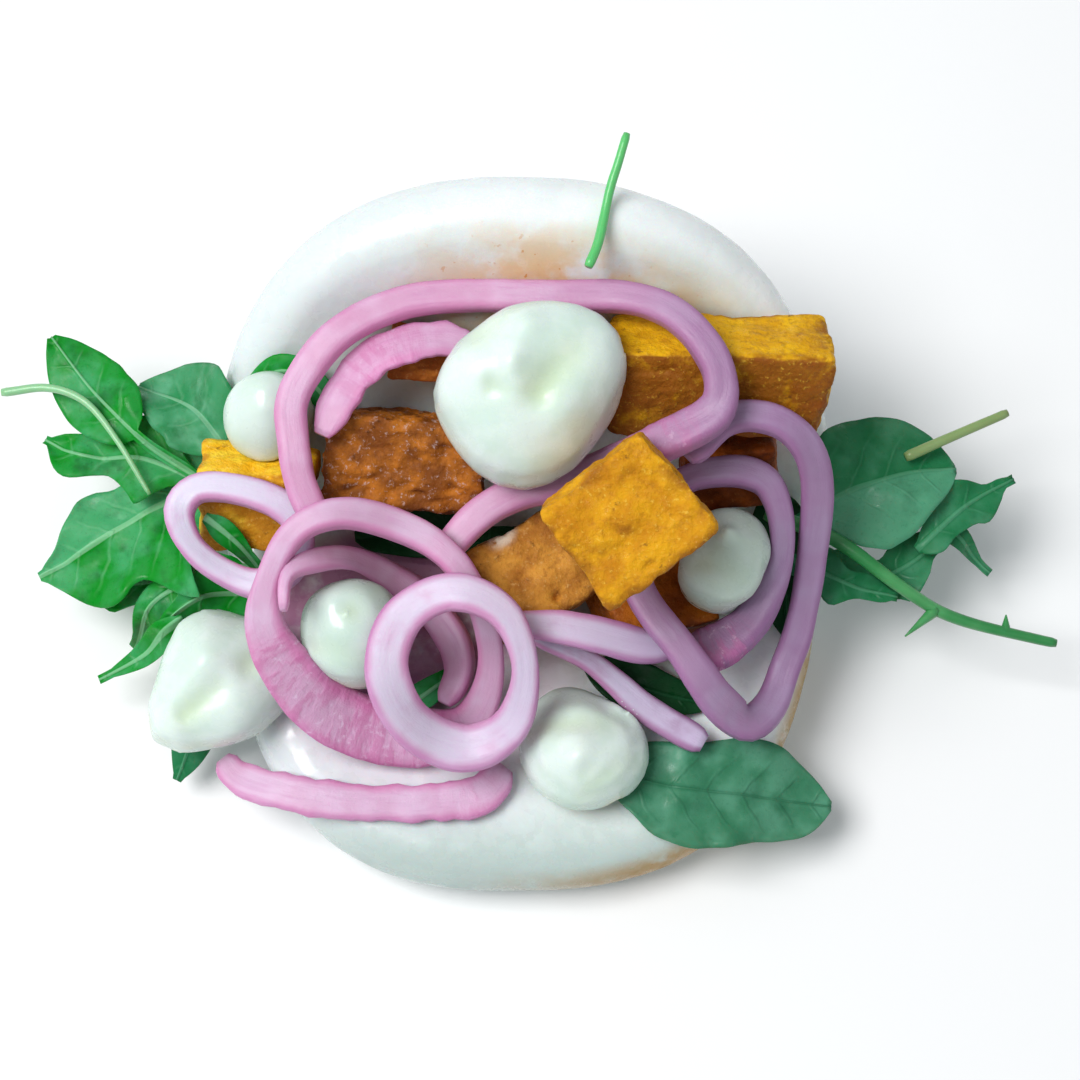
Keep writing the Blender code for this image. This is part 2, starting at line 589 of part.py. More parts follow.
def lay_leaves():
    """Salad leaves on the lower half, hanging out of both sides and over the front rim."""
    lay_leaf("leaf_left_low", [(-39, -3, 14), (-50, -3.5, 15), (-60, -5, 13), (-70, -4, 11)], 11,
             "lobed", lobes=(2, 0.35, 0.2), fold=1.0, ripple=1.0, bare=0.15)
    lay_leaf("leaf_left_drop", [(-50, -5, 13), (-57, -9, 11), (-61, -14, 6)], 6, "blade", fold=0.8)
    lay_leaf("leaf_left_small", [(-40, -7, 14), (-48, -8, 15), (-56, -13, 12)], 7,
             "lobed", lobes=(2, 0.3, 0.3), fold=1.2, ripple=0.8)
    lay_leaf("leaf_left_big", [(-40, 3, 15), (-46, 6.5, 16.5), (-53, 7, 17.5), (-60, 4, 16.5), (-68, -0.5, 14),
                               (-75, -4, 12)], 23, "lobed", lobes=(2.5, 0.2, 0.3), fold=2.0, ripple=1.6,
             waves=2.5, phase=0.8, bare=0.15, lean=-0.3)
    lay_leaf("leaf_left_curl", [(-50, 9, 19), (-58, 12, 20), (-68, 13, 19.5), (-74, 16, 18.5)], 11,
             "lobed", lobes=(2, 0.4, 0.5), fold=1.6, ripple=1.4, phase=2.0)
    lay_leaf("leaf_left_back", [(-41, 5, 18), (-46, 13, 20), (-52, 20, 20.5), (-60, 24, 20)], 14,
             "round", fold=1.2, ripple=1.2, bare=0.35, colour="leaf_pale")
    lay_leaf("leaf_left_top", [(-50, 9, 20), (-58, 14, 21.5), (-66, 22, 22.5), (-73, 31, 23)], 12,
             "round", fold=-1.2, ripple=0.8, bare=0.35)
    lay_leaf("leaf_left_spike", [(-52, -12, 13), (-59, -16, 11), (-66, -19, 8)], 4, "blade", fold=0.5)
    lay_leaf("leaf_front_left", [(-44, -21, 13), (-50, -26, 10.5), (-54, -34, 5)], 7.5, "round", fold=-0.8,
             ripple=0.6, colour="leaf_deep")
    lay_leaf("leaf_in_ring", [(-21, -26, 13.5), (-14, -21, 14), (-9, -17, 13.5)], 4.5, "blade", fold=0.6)
    lay_leaf("leaf_dark_middle", [(36, 8, 15), (38, 0, 14.5), (38.5, -14, 13.5)], 11, "lobed",
             fold=0.5, ripple=0.5, colour="leaf_deep")
    lay_leaf("leaf_dark_back", [(-27, 2, 14), (-17, 3, 14), (-8, 1, 14), (-2, 3, 14)], 9, "round",
             fold=0.3, ripple=0.4, colour="leaf_deep")
    lay_leaf("leaf_right_low", [(41, -3, 14), (50, -5, 14), (58, -2, 15), (65, 5, 16)], 9, "lobed",
             lobes=(2, 0.3, 0.3), fold=1.0, ripple=1.0, colour="leaf_deep")
    lay_leaf("leaf_right_under", [(38, -2, 14), (47, -6, 13), (55, -8, 11)], 7, "lobed",
             lobes=(2, 0.3, 0.2), fold=0.8, ripple=0.6, colour="leaf_deep")
    lay_leaf("leaf_right_spike", [(58, 6, 15), (65, 1, 13), (70, -3, 11)], 4, "blade", fold=0.5,
             colour="leaf_deep")
    lay_leaf("leaf_right_side", [(58, -1, 17), (66, 6, 18), (73, 10, 18)], 8, "lobed",
             lobes=(1.5, 0.3, 0.2), fold=0.8, ripple=0.8, colour="leaf_deep")
    lay_leaf("leaf_right_round", [(39, 3, 17), (47, 7, 20), (56, 10, 21), (64, 11, 20)], 21, "round",
             fold=-1.5, ripple=1.2, waves=1.5, bare=0.15, colour="leaf_deep")
    lay_leaf("leaf_front_dark", [(8, -18, 14), (18, -22, 14), (28, -24, 13)], 8, "lobed", fold=0.4,
             ripple=0.4, colour="leaf_deep")
    lay_leaf("leaf_front", [(11, -34, 14.5), (21, -36.5, 14), (33, -37.5, 11), (45, -38.5, 8)], 16.5, "blunt",
             lobes=(1.5, 0.12, 0.4), fold=0.3, ripple=0.8, waves=2, phase=2.5, colour="leaf_deep")
    lay_leaf("leaf_back_left", [(-43, 18, 20), (-37, 21, 26), (-31, 19, 27), (-28, 13, 24)], 5, "lobed",
             fold=0.3, ripple=0.3)


def lay_stalks():
    lay_stalk("stalk_left", [(-80, 22, 22), (-73, 22.5, 22), (-67, 20, 21), (-62, 14, 20), (-57, 6, 18)], 1.5)
    lay_stalk("stalk_right", [(35, 4, 17), (45, 0, 17), (55, -7, 18), (64, -11.5, 17), (79, -14.6, 14)], 3.2, 0.6)
    lay_stalk("stalk_right_thin", [(56, 12, 23), (63, 15, 24), (71.5, 18.7, 24)], 1.8, 0.8)


def fill_bun():
    """The filling, from the bottom of the heap to its top."""
    lay_squash("squash_right", (29.5, 9.5), (14, 10, 10), (50, 4, 8), 3, "squash_dark")
    lay_squash("squash_under", (18, -9.5), (16, 11, 10), (0, 6, 20), 5)
    lay_squash("squash_middle", (-0.5, -6.0), (15.5, 14.5, 16.5), (6, 6, 30), 8)
    lay_squash("squash_left", (-40, 4.5), (17, 13, 11), (46, 0, -3), 7)
    lay_leaf("leaf_in_left_ring", [(-47.5, 0, 18), (-44, -2.4, 17), (-40, -5.5, 15)], 3.6, "blade",
             fold=0.5, ripple=0.3)
    lay_squash("squash_long", (26, 19.3), (33, 14, 12), (50, -2, -1), 9, cuts=SQUASH_LONG_GRID)
    lay_squash("squash_back", (-15, 22.8), (11, 6, 6.5), (50, 0, -6), 6)
    lay_onion("onion_front_strip", [(-46.5, -31.5, 4, 3), (-43.5, -34.7, 5, 3), (-36, -37.2, 5.6), (-25.5, -38.8, 5.4),
                                    (-15, -38.8, 5.6), (-7.7, -37.5, 6), (-4, -33.4, 5)], closed=False)
    lay_onion("onion_cut_strip", [(0, -16.5, 2.6, 3), (4.2, -18, 2.8, 3), (8.6, -19.5, 3.2, 3), (12.8, -22.3, 3.8, 3),
                                  (16.7, -25.3, 4.2, 3), (25.5, -30.4, 4.6, 3)], closed=False)
    lay_onion("onion_inner_ring", [(20, 3.5, 4), (23.2, 5.4, 4), (27, 6.2, 4.4), (31.2, 6.1, 4.6), (34.6, 4.2, 4.2),
                                   (36.5, -1, 3.6), (36, -7, 4), (32.5, -13, 5.5, 3.4, 20),
                                   (27.4, -16.8, 7.5, 3.4, 25), (23, -17.8, 6.5, 3.4, 15)], closed=False)
    lay_onion("onion_middle_strip", [(-4, -15.5, 4), (0.6, -15.6, 4.2), (4.2, -15.9, 4.8), (10.1, -16.8, 5.2),
                                     (16.1, -17.7, 5.2), (21, -17.5, 4)], closed=False)
    lay_onion("onion_left_ring", [(-50.8, 0, 4.4), (-49, -4.6, 3.8), (-44.5, -7.8, 3.8), (-39, -9.5, 4.5),
                                  (-34.5, -7, 4.5), (-33.5, -2.5, 4.2), (-36.3, 1, 4.4), (-42.6, 3.1, 4.2),
                                  (-48.2, 3.2, 4.2)], sag=0.8 * MM)
    lay_squash("squash_brown", (-18.8, 9.2), (23, 14.5, 10), (27, 0, -4), 10, "squash_dark", cuts=SQUASH_LONG_GRID)
    pipe_cream("cream_back_left", (-38.4, 14.6, 33), (6.6, 6.6), 6.5, slope=0.3, sink=11)
    lay_onion("onion_torn_layer", [(-30, 10, 4, 2.6), (-27, 16, 6, 2.6, -15), (-22.5, 20.5, 6.5, 2.6, -20),
                                   (-15, 22.9, 6, 2.6, -15), (-8.5, 22.5, 4.5, 2.6)], closed=False, sag=0.8 * MM)
    pipe_cream("cream_right", (28.9, -5.6, 28.5), (8.2, 7.6), 7.5, tip=(0.5, 1), sink=16)
    lay_onion("onion_right_ring", [(22, 6), (27.8, 11.1, 4.4), (34.1, 11.1, 4.4), (39.3, 7.8), (41.4, 2.5),
                                   (41.1, -6, 4.4), (39.7, -13.7), (37.8, -18.8), (35.5, -24.5, 5),
                                   (31.9, -27.8, 5.6), (27.4, -25.8, 5.6), (24.2, -22.3, 5.2), (21, -17.9),
                                   (17.9, -13.9), (15.8, -10.1), (14.5, -5)], closed=False, sag=1.2 * MM)
    lay_onion("onion_big_ring", [(-30.5, -2.5), (-33, 3), (-34, 9), (-34.3, 14), (-32.4, 18.3), (-28, 23.3),
                                 (-21.5, 27.1), (-13, 29), (4, 29), (12.5, 28.6), (18.9, 25.9), (23.7, 21.1),
                                 (26.4, 15.4, 4.6, 3.8), (25.4, 10.4, 5.5, 3.6, 10), (17.5, 7, 6.4, 3.4, 25),
                                 (9.8, 5.8, 5.6, 3.4, 15), (2.6, 4.6, 5.4, 3.4, 10), (-3.2, 2.6, 5), (-8.3, -0.8),
                                 (-13.5, -6.5)], closed=False, sag=1.6 * MM)
    pipe_cream("cream_top", (-0.6, 15.4, 46), (14.4, 12.4), 9.5, turn=10, tip=(-1, -1), lobes=((3, 0.08, 30),),
               slope=0.3, sink=12)
    pipe_cream("cream_left", (-44.8, -17.8, 16), (11.2, 12), 9, tip=(-2, -1.5), pull=(225, 4.5, 22),
               lobes=((2, 0.05, 60), (3, 0.03, 10)), sink=8)
    lay_onion("onion_double_outer", [(-8.3, -11.5, 3.4), (-15, -4.5, 3.4), (-25, -1.8, 3.4), (-33, -4.2, 3.2),
                                     (-37.4, -10.5, 3.0), (-38, -17, 6, 3.4, 20), (-34.5, -22.5, 9, 3.4, 30),
                                     (-29, -26.6, 9.6, 3.4, 30), (-19, -29.2, 9.4, 3.4, 30),
                                     (-10, -27.5, 6.5, 3.4, 20), (-6, -20, 4)], sag=1.2 * MM)
    lay_onion("onion_double_inner", [(-35, -15.5, 1.8, 3), (-34.6, -10.5, 2, 3), (-31.3, -7.8, 3.4, 3),
                                     (-25, -5.7, 3.6, 3, 15), (-17.3, -8.3, 4.8, 3, 25),
                                     (-12.2, -14, 5, 3, 25), (-10.8, -19.5, 4.4, 3, 20), (-13, -24.5, 3.4, 3, 10)],
              closed=False, sag=1.2 * MM)
    pipe_cream("cream_in_ring", (-27.5, -14.8, 26), (8.2, 8.8), 8.5, tip=(1, 0), sink=14)
    pipe_cream("cream_front", (7.8, -30.6, 16.5), (10, 9.8), 9, tip=(0, -2.2), tiers=0.08, sink=5)
    lay_onion("onion_small_ring", [(-0.9, -22.5, 3.9), (-4, -15.4, 4.8), (-11.3, -12.6, 5.4), (-18.3, -15.6, 6),
                                   (-20.7, -22.5, 6.3), (-17.5, -29.3, 6.6), (-9.7, -32.2, 6.8), (-3, -29.3, 5.6)],
              step=3.8 * MM, sag=1.0 * MM)
    lay_squash("squash_top", (13.4, -4.4), (18.5, 16.5, 10.5), (25, -3, 38), 12, cuts=SQUASH_LONG_GRID)
    lay_stalk("stalk_back", [(8, 31, 44), (9.5, 35, 48), (11, 42, 53), (12.3, 46, 55), (13.5, 50, 56)], 1.6, 0.8)


def main():
    clear_scene()
    make_bun()
    lay_leaves()
    lay_stalks()
    fill_bun()


main()
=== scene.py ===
import math
import random

import bmesh
import bpy
import numpy as np
from mathutils import Matrix, Vector, noise
from mathutils.bvhtree import BVHTree


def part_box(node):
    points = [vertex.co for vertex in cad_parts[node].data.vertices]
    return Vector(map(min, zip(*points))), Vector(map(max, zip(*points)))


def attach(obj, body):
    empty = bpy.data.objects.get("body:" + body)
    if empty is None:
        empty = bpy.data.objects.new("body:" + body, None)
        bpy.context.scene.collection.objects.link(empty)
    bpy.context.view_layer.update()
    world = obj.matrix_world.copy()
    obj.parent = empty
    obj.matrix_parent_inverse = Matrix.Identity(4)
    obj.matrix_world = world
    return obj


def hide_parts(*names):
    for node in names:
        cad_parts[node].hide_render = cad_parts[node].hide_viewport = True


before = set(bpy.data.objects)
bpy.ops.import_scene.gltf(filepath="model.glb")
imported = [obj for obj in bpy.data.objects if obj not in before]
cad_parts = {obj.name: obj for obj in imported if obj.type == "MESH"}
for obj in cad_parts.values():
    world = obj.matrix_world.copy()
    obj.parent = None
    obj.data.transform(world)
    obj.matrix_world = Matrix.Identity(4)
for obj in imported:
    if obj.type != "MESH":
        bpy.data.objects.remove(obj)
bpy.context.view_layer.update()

# Table, light and camera
# The bun is looked at from 75 degrees above a pale table, by someone who stands before it.
# A broad window light comes from above on the left, a faint reflector stands on the right in
# front, and the room fills the rest.
MM = 0.001
LOOK_AT = Vector((1.2, 0, 20)) * MM
CAMERA_DISTANCE = 382.5 * MM
CAMERA_RISE = math.radians(75)
CAMERA_LENS = 85
CAMERA_SENSOR = 36
TABLE_SIZE = 3.0
TABLE_SHADE = 0.90
TABLE_ROUGHNESS = 0.7
ROOM_SHADE = (0.90, 0.96, 1.0, 1.0)
ROOM_STRENGTH = 0.42
# Each light is its place, its width and its power
WINDOW = ((-0.46, 0.02, 0.88), 0.50, 8.7)
REFLECTOR = ((0.34, -0.20, 0.36), 0.50, 0.15)

scene = bpy.context.scene
scene.view_settings.view_transform = "Standard"

lens = bpy.data.cameras.new("camera")
lens.type = "PERSP"
lens.lens = CAMERA_LENS
lens.sensor_width = CAMERA_SENSOR
camera = bpy.data.objects.new("camera", lens)
towards_camera = Vector((0, -math.cos(CAMERA_RISE), math.sin(CAMERA_RISE)))
camera.location = LOOK_AT + towards_camera * CAMERA_DISTANCE
camera.rotation_euler = towards_camera.to_track_quat("Z", "Y").to_euler()
scene.collection.objects.link(camera)
scene.camera = camera

for light_name, (place, width, power) in {"window": WINDOW, "reflector": REFLECTOR}.items():
    glow = bpy.data.lights.new(light_name, "AREA")
    glow.energy = power
    glow.size = width
    light = bpy.data.objects.new(light_name, glow)
    light.location = place
    light.rotation_euler = (Vector(place) - LOOK_AT).to_track_quat("Z", "Y").to_euler()
    scene.collection.objects.link(light)

room = bpy.data.worlds.new("room")
room.use_nodes = True
room.node_tree.nodes["Background"].inputs["Color"].default_value = ROOM_SHADE
room.node_tree.nodes["Background"].inputs["Strength"].default_value = ROOM_STRENGTH
scene.world = room

bpy.ops.mesh.primitive_plane_add(size=TABLE_SIZE)
table = bpy.context.object
table.name = "table"
table_paint = bpy.data.materials.new("table_paint")
table_paint.use_nodes = True
table_shader = table_paint.node_tree.nodes["Principled BSDF"]
table_shader.inputs["Base Color"].default_value = (TABLE_SHADE, TABLE_SHADE, TABLE_SHADE, 1)
table_shader.inputs["Roughness"].default_value = TABLE_ROUGHNESS
table.data.materials.append(table_paint)

# Steamed bun
# An oval of white wheat dough, rolled out, folded over at its middle and steamed, so that its
# skin is smooth with shallow dimples. Oil from the filling has stained the inside of its lid.
BUN_WIDTH = 93 * MM
BUN_LENGTH = 116 * MM
BUN_THICKNESS = 13 * MM
BUN_OUTLINE_POWER = 2.5
BUN_DISH = 1.4 * MM
BUN_FRONT_Y = -51 * MM
BUN_MIDDLE_X = -1.5 * MM
FOLD_START = 53.5 * MM
FOLD_RADIUS = 10 * MM
LID_ANGLE = math.radians(50)
BUN_RIM_START = math.radians(42)
# Waves of the outline as how many go round, how deep they are and where they start
BUN_WOBBLES = ((3, 0.008, 0.6), (5, 0.006, 0.0))
BUN_SEGMENTS = 240
BUN_RINGS = 150
BUN_FLAT_BELOW = 0.2 * MM
# Dimples in the skin as (size, depth), in millimetres
DOUGH_DIMPLES = ((11.0, 0.35), (4.5, 0.16))
# Ovals on the dough as their middle and their half width and depth, in millimetres: what the
# big onion ring stains, with painted shade beside it, what the onions have soaked, and where
# shade is painted under the filling
BIG_RING_OVAL = ((-3, 8), (33.5, 24.5))
JUICE_OVAL = ((-21, -10), (22, 17))
BLUSH_OVAL = ((-18, -14), (30, 25))
DAMP_OVAL = ((12, -2), (34, 20))
LOWER_HALF_MIDDLE = (-1.5, -6)
# The dough from left to right, its patches and its front, what has soaked in, and painted light
# Painted light: the dough is darker on the left, where the window falls, and lighter on the right
DOUGH_WHITES = ("#D9E2E3", "#F8FBFB")
DOUGH_PATCH = "#DCE4E2"
# Painted shade on the front of the lower half
DOUGH_FRONT = "#BCCBC6"
# Painted shade on the inside of the lid beside the big onion ring
OIL_SHADE = "#AEB49E"
# Painted shade on the dough under the filling
DAMP_DOUGH = "#8E8A6E"
BLUSHED_DOUGH = "#D9C2D2"
ONION_JUICE = "#A45A88"
OIL_STAIN = "#DDAE62"
OIL_SPECK = "#CE8A34"
# Painted reflection: tan brown along the lower right rim
BROWNED_RIM = "#A8823A"


def linear(hex_colour):
    """Linear RGBA of a colour written as #RRGGBB."""
    parts = [int(hex_colour[i:i + 2], 16) / 255 for i in (1, 3, 5)]
    return [c / 12.92 if c < 0.04045 else ((c + 0.055) / 1.055) ** 2.4 for c in parts] + [1.0]


class Finish:
    """A surface finish, mixed from patterns that are fixed to the food in millimetres."""

    def __init__(self, name, roughness, settings):
        self.material = bpy.data.materials.new(name)
        self.material.use_nodes = True
        self.nodes = self.material.node_tree.nodes
        self.links = self.material.node_tree.links
        self.shader = self.nodes["Principled BSDF"]
        self.shader.inputs["Roughness"].default_value = roughness
        for socket, value in settings.items():
            self.shader.inputs[socket].default_value = value
        self.place = self.nodes.new("ShaderNodeTexCoord").outputs["Object"]

    def join(self, value, socket):
        """Give a socket a colour, a number or another node's output."""
        if isinstance(value, str):
            socket.default_value = linear(value)
        elif isinstance(value, (int, float)):
            socket.default_value = value
        else:
            self.links.new(value, socket)

    def marked(self, name):
        """A share from 0 to 1 that the piece's own points carry."""
        node = self.nodes.new("ShaderNodeAttribute")
        node.attribute_name = name
        return node.outputs["Fac"]

    def laid(self, name):
        """A place along and across the piece that its own points carry."""
        node = self.nodes.new("ShaderNodeAttribute")
        node.attribute_name = name
        return node.outputs["Vector"]

    def along(self, axis, place=None):
        """How far along X, Y or Z a spot is, in metres, or a place that its points carry."""
        node = self.nodes.new("ShaderNodeSeparateXYZ")
        self.links.new(place or self.place, node.inputs[0])
        return node.outputs[axis]

    def grain(self, size, detail=3.0, harshness=0.55, place=None, unit=MM):
        """Soft random blotches about size across."""
        node = self.nodes.new("ShaderNodeTexNoise")
        node.inputs["Scale"].default_value = 1 / (size * unit)
        node.inputs["Detail"].default_value = detail
        node.inputs["Roughness"].default_value = harshness
        self.links.new(place or self.place, node.inputs["Vector"])
        return node.outputs[0]

    def cells(self, size):
        """Distance from the middle of random cells about size across."""
        node = self.nodes.new("ShaderNodeTexVoronoi")
        node.inputs["Scale"].default_value = 1 / (size * MM)
        self.links.new(self.place, node.inputs["Vector"])
        return node.outputs["Distance"]

    def between(self, value, low, high, top=1.0):
        """Value brought to 0 at low and to top at high."""
        node = self.nodes.new("ShaderNodeMapRange")
        node.interpolation_type = "SMOOTHSTEP"
        node.inputs["From Min"].default_value = low
        node.inputs["From Max"].default_value = high
        node.inputs["To Max"].default_value = top
        self.links.new(value, node.inputs["Value"])
        return node.outputs["Result"]

    def sum_of(self, how, a, b):
        """One of the plain sums, such as ADD, of two values."""
        node = self.nodes.new("ShaderNodeMath")
        node.operation = how
        self.join(a, node.inputs[0])
        self.join(b, node.inputs[1])
        return node.outputs[0]

    def times(self, a, b):
        """How much two shares leave of each other."""
        return self.sum_of("MULTIPLY", a, b)

    def mix(self, under, over, share):
        """One colour laid over another by a share."""
        node = self.nodes.new("ShaderNodeMix")
        node.data_type = "RGBA"
        self.join(under, node.inputs[6])
        self.join(over, node.inputs[7])
        self.join(share, node.inputs[0])
        return node.outputs[2]

    def colour(self, value):
        """Give the finish its first colour, or what it has become."""
        self.base = value
        self.join(value, self.shader.inputs["Base Color"])

    def over(self, colour, share, strength=None):
        """Lay a colour over what is there by a share, which its strength can bring down."""
        if strength:
            share = self.times(share, strength)
        self.colour(self.mix(self.base, colour, share))

    def rough(self, value):
        self.join(value, self.shader.inputs["Roughness"])

    def relief(self, *heights):
        """Fine relief too small for the mesh, as (height, depth in millimetres) pairs."""
        normal = None
        for height, depth in heights:
            node = self.nodes.new("ShaderNodeBump")
            node.inputs["Distance"].default_value = depth * MM
            self.links.new(height, node.inputs["Height"])
            if normal:
                self.links.new(normal, node.inputs["Normal"])
            normal = node.outputs["Normal"]
        self.links.new(normal, self.shader.inputs["Normal"])


def between(value, low, high):
    """0 up to low, 1 from high on, and smooth in the middle."""
    share = np.clip((np.asarray(value, dtype=float) - low) / (high - low), 0, 1)
    return share * share * (3 - 2 * share)


def bump_of(point, size, seed=0.0):
    """Smooth noise from -1 to 1 at a point in metres, with bumps about size millimetres across."""
    return noise.noise(Vector(point) / (size * MM) + Vector((seed, seed * 0.7, 0)))


def from_middle(x, y, middle, half):
    """How far spots are from the middle of an oval, where 1 is its edge."""
    return np.hypot((x - middle[0]) / half[0], (y - middle[1]) / half[1])


def mark(mesh, name, values):
    """Let every point of a mesh carry a share from 0 to 1."""
    attribute = mesh.attributes.new(name, "FLOAT", "POINT")
    attribute.data.foreach_set("value", np.asarray(values, dtype=np.float32))


def serve(piece, finish, slot, *nodes):
    """Give a piece its finish and put it in the place of its solids."""
    piece.data.materials.clear()
    piece.data.materials.append(finish.material)
    piece.data.shade_smooth()
    if piece.name not in scene.collection.objects:
        scene.collection.objects.link(piece)
    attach(piece, "root")
    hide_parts(*nodes)


def middle_layer(s):
    """Where the bun's middle layer runs, s metres from its front rim: y, z and its slope."""
    slope = min(max((s - FOLD_START) / FOLD_RADIUS, 0), LID_ANGLE)
    lid = max(s - FOLD_START - FOLD_RADIUS * LID_ANGLE, 0)
    y = BUN_FRONT_Y + min(s, FOLD_START) + FOLD_RADIUS * math.sin(slope) + lid * math.cos(slope)
    z = BUN_THICKNESS / 2 + FOLD_RADIUS * (1 - math.cos(slope)) + lid * math.sin(slope)
    return y, z, slope


def make_bun():
    bm = bmesh.new()
    bmesh.ops.create_uvsphere(bm, u_segments=BUN_SEGMENTS, v_segments=BUN_RINGS, radius=1.0)
    half = BUN_THICKNESS / 2
    on_rim = []
    for vert in bm.verts:
        polar = math.acos(max(-1, min(1, vert.co.z)))
        angle = math.atan2(vert.co.y, vert.co.x)
        c, s = math.cos(angle), math.sin(angle)
        power = BUN_OUTLINE_POWER
        reach = (abs(2 * c / BUN_WIDTH) ** power + abs(2 * s / BUN_LENGTH) ** power) ** (-1 / power)
        reach *= 1 + sum(deep * math.sin(many * angle + at) for many, deep, at in BUN_WOBBLES)
        if polar < BUN_RIM_START:
            share = polar / BUN_RIM_START
            radius = (reach - half) * share
            height = half - BUN_DISH * (1 - share ** 3)
        elif polar > math.pi - BUN_RIM_START:
            radius = (reach - half) * (math.pi - polar) / BUN_RIM_START
            height = -half
        else:
            round_angle = (polar - BUN_RIM_START) / (math.pi - 2 * BUN_RIM_START) * math.pi
            radius = reach - half + half * math.sin(round_angle)
            height = half * math.cos(round_angle)
        y, z, slope = middle_layer(BUN_LENGTH / 2 + radius * s)
        vert.co = (BUN_MIDDLE_X + radius * c, y - height * math.sin(slope), z + height * math.cos(slope))
        on_rim.append((radius - reach + half) / half)
    bm.normal_update()
    for vert in bm.verts:
        depth = sum(deep * (1 + bump_of(vert.co, size, 5)) / 2 for size, deep in DOUGH_DIMPLES)
        if vert.co.z > BUN_FLAT_BELOW:
            vert.co -= vert.normal * depth * MM
            vert.co.z = max(vert.co.z, 0)
    mesh = bpy.data.meshes.new("bun_dough")
    bm.to_mesh(mesh)
    bm.free()
    spots = np.array([v.co[:] for v in mesh.vertices]) / MM
    facing = np.array([v.normal[:] for v in mesh.vertices])
    x, y, z = spots.T
    ring = from_middle(x, y, *BIG_RING_OVAL)
    inside_lid = between(y, 16, 24) * between(-facing[:, 1], 0.1, 0.5)
    mark(mesh, "stain", inside_lid * (1 - between(ring, 1.0, 1.34)) * between(x, -30, 4))
    # Painted shade on the inside of the lid beside the big ring, deepest on the right
    mark(mesh, "shade", inside_lid * (1 - between(ring, 1.0, 1.6)) * (0.15 + 0.85 * between(x, 5, 30)))
    upward = between(facing[:, 2], 0.5, 0.9) * (1 - between(z, 14.5, 17))
    mark(mesh, "juice", upward * (1 - between(from_middle(x, y, *JUICE_OVAL), 0.72, 1.0)))
    mark(mesh, "blush", upward * (1 - between(from_middle(x, y, *BLUSH_OVAL), 0.7, 1.0)))
    # Painted shade on the dough under the filling
    mark(mesh, "damp", upward * (1 - between(from_middle(x, y, *DAMP_OVAL), 0.6, 1.0)))
    around = np.degrees(np.arctan2(y - LOWER_HALF_MIDDLE[1], x - LOWER_HALF_MIDDLE[0]))
    lower_right = between(around, -105, -62) * (1 - between(around, -14, 2))
    # The browned mark carries a painted reflection along the lower right rim
    mark(mesh, "browned", between(np.array(on_rim), 0.55, 0.98) * lower_right * (1 - between(z, 11, 15)))
    return bpy.data.objects.new("bun_dough", mesh)


dough = Finish("dough", 0.5, {"Subsurface Weight": 0.2, "Subsurface Scale": 0.003, "Coat Weight": 0.08,
                              "Coat Roughness": 0.35})
# Painted light: darker on the left and lighter on the right
dough.colour(dough.mix(*DOUGH_WHITES, dough.between(dough.along("X"), -0.045, 0.03)))
dough.over(DOUGH_PATCH, dough.between(dough.grain(14), 0.35, 0.7, 0.5))
# Painted shade towards the front rim
dough.over(DOUGH_FRONT, dough.between(dough.along("Y"), -0.035, -0.047))
# Painted shade on the inside of the lid
dough.over(OIL_SHADE, dough.marked("shade"), 0.8)
# Painted shade on the dough under the filling, in blotches
wetted = dough.times(dough.marked("damp"), dough.between(dough.grain(5, 4), 0.3, 0.6))
dough.over(DAMP_DOUGH, wetted, 0.7)
dough.over(BLUSHED_DOUGH, dough.marked("blush"), 0.5)
juicy = dough.times(dough.marked("juice"), dough.between(dough.grain(5, 4), 0.15, 0.5))
dough.over(ONION_JUICE, juicy, 0.85)
stained = dough.times(dough.marked("stain"), dough.between(dough.grain(6, 5), 0.3, 0.62))
dough.over(OIL_STAIN, stained, 0.8)
specks = dough.between(dough.grain(1.1, 2), 0.66, 0.72)
dough.over(OIL_SPECK, dough.times(specks, stained))
# Painted reflection, tan brown along the lower right rim
browning = dough.times(dough.marked("browned"), dough.between(dough.grain(4, 4), 0.15, 0.5))
dough.over(BROWNED_RIM, browning)
dough.rough(dough.between(dough.grain(3), 0.2, 0.8, 0.62))
dough.relief((dough.grain(0.9, 2), 0.015), (dough.grain(4.5, 2), 0.2))

serve(make_bun(), dough, "dough", "bun")

# Pickled onion
# Rings and half rings of sliced red onion, pickled until pale and limp. Each is one layer
# with a pink skin outside, laid loosely, so that it sags between the pieces that it lies on.
ONION_STEP = 1.0 * MM
ONION_SIDES = 26
ONION_SECTION_POWER = 3.9
# How much thinner a cut end is, and over how many steps
ONION_END_THINNING = 0.42
ONION_END_STEPS = 0.9
# Bands between these widths, in millimetres, show more and more of the layer's wall
ONION_WALL_WIDTHS = (5.2, 7.2)
# Swellings along a band as their size in millimetres and their share of its section
ONION_SWELLS = ((7.0, 0.05), (2.5, 0.03))
# How deep fibres, torn edges and wrinkles go, as shares of a band's section
ONION_FIBRE = 0.035
ONION_TEAR = 0.22
ONION_WRINKLE = 0.1
# The groove along the top of a band: where across it, its width, its depth and how many
# millimetres it takes to fade
ONION_GROOVE = (0.15, 0.2, 0.11, 16.0)
# How long a streak and a crease are, in millimetres
ONION_STREAK = 9.0
ONION_CREASE = 1.3
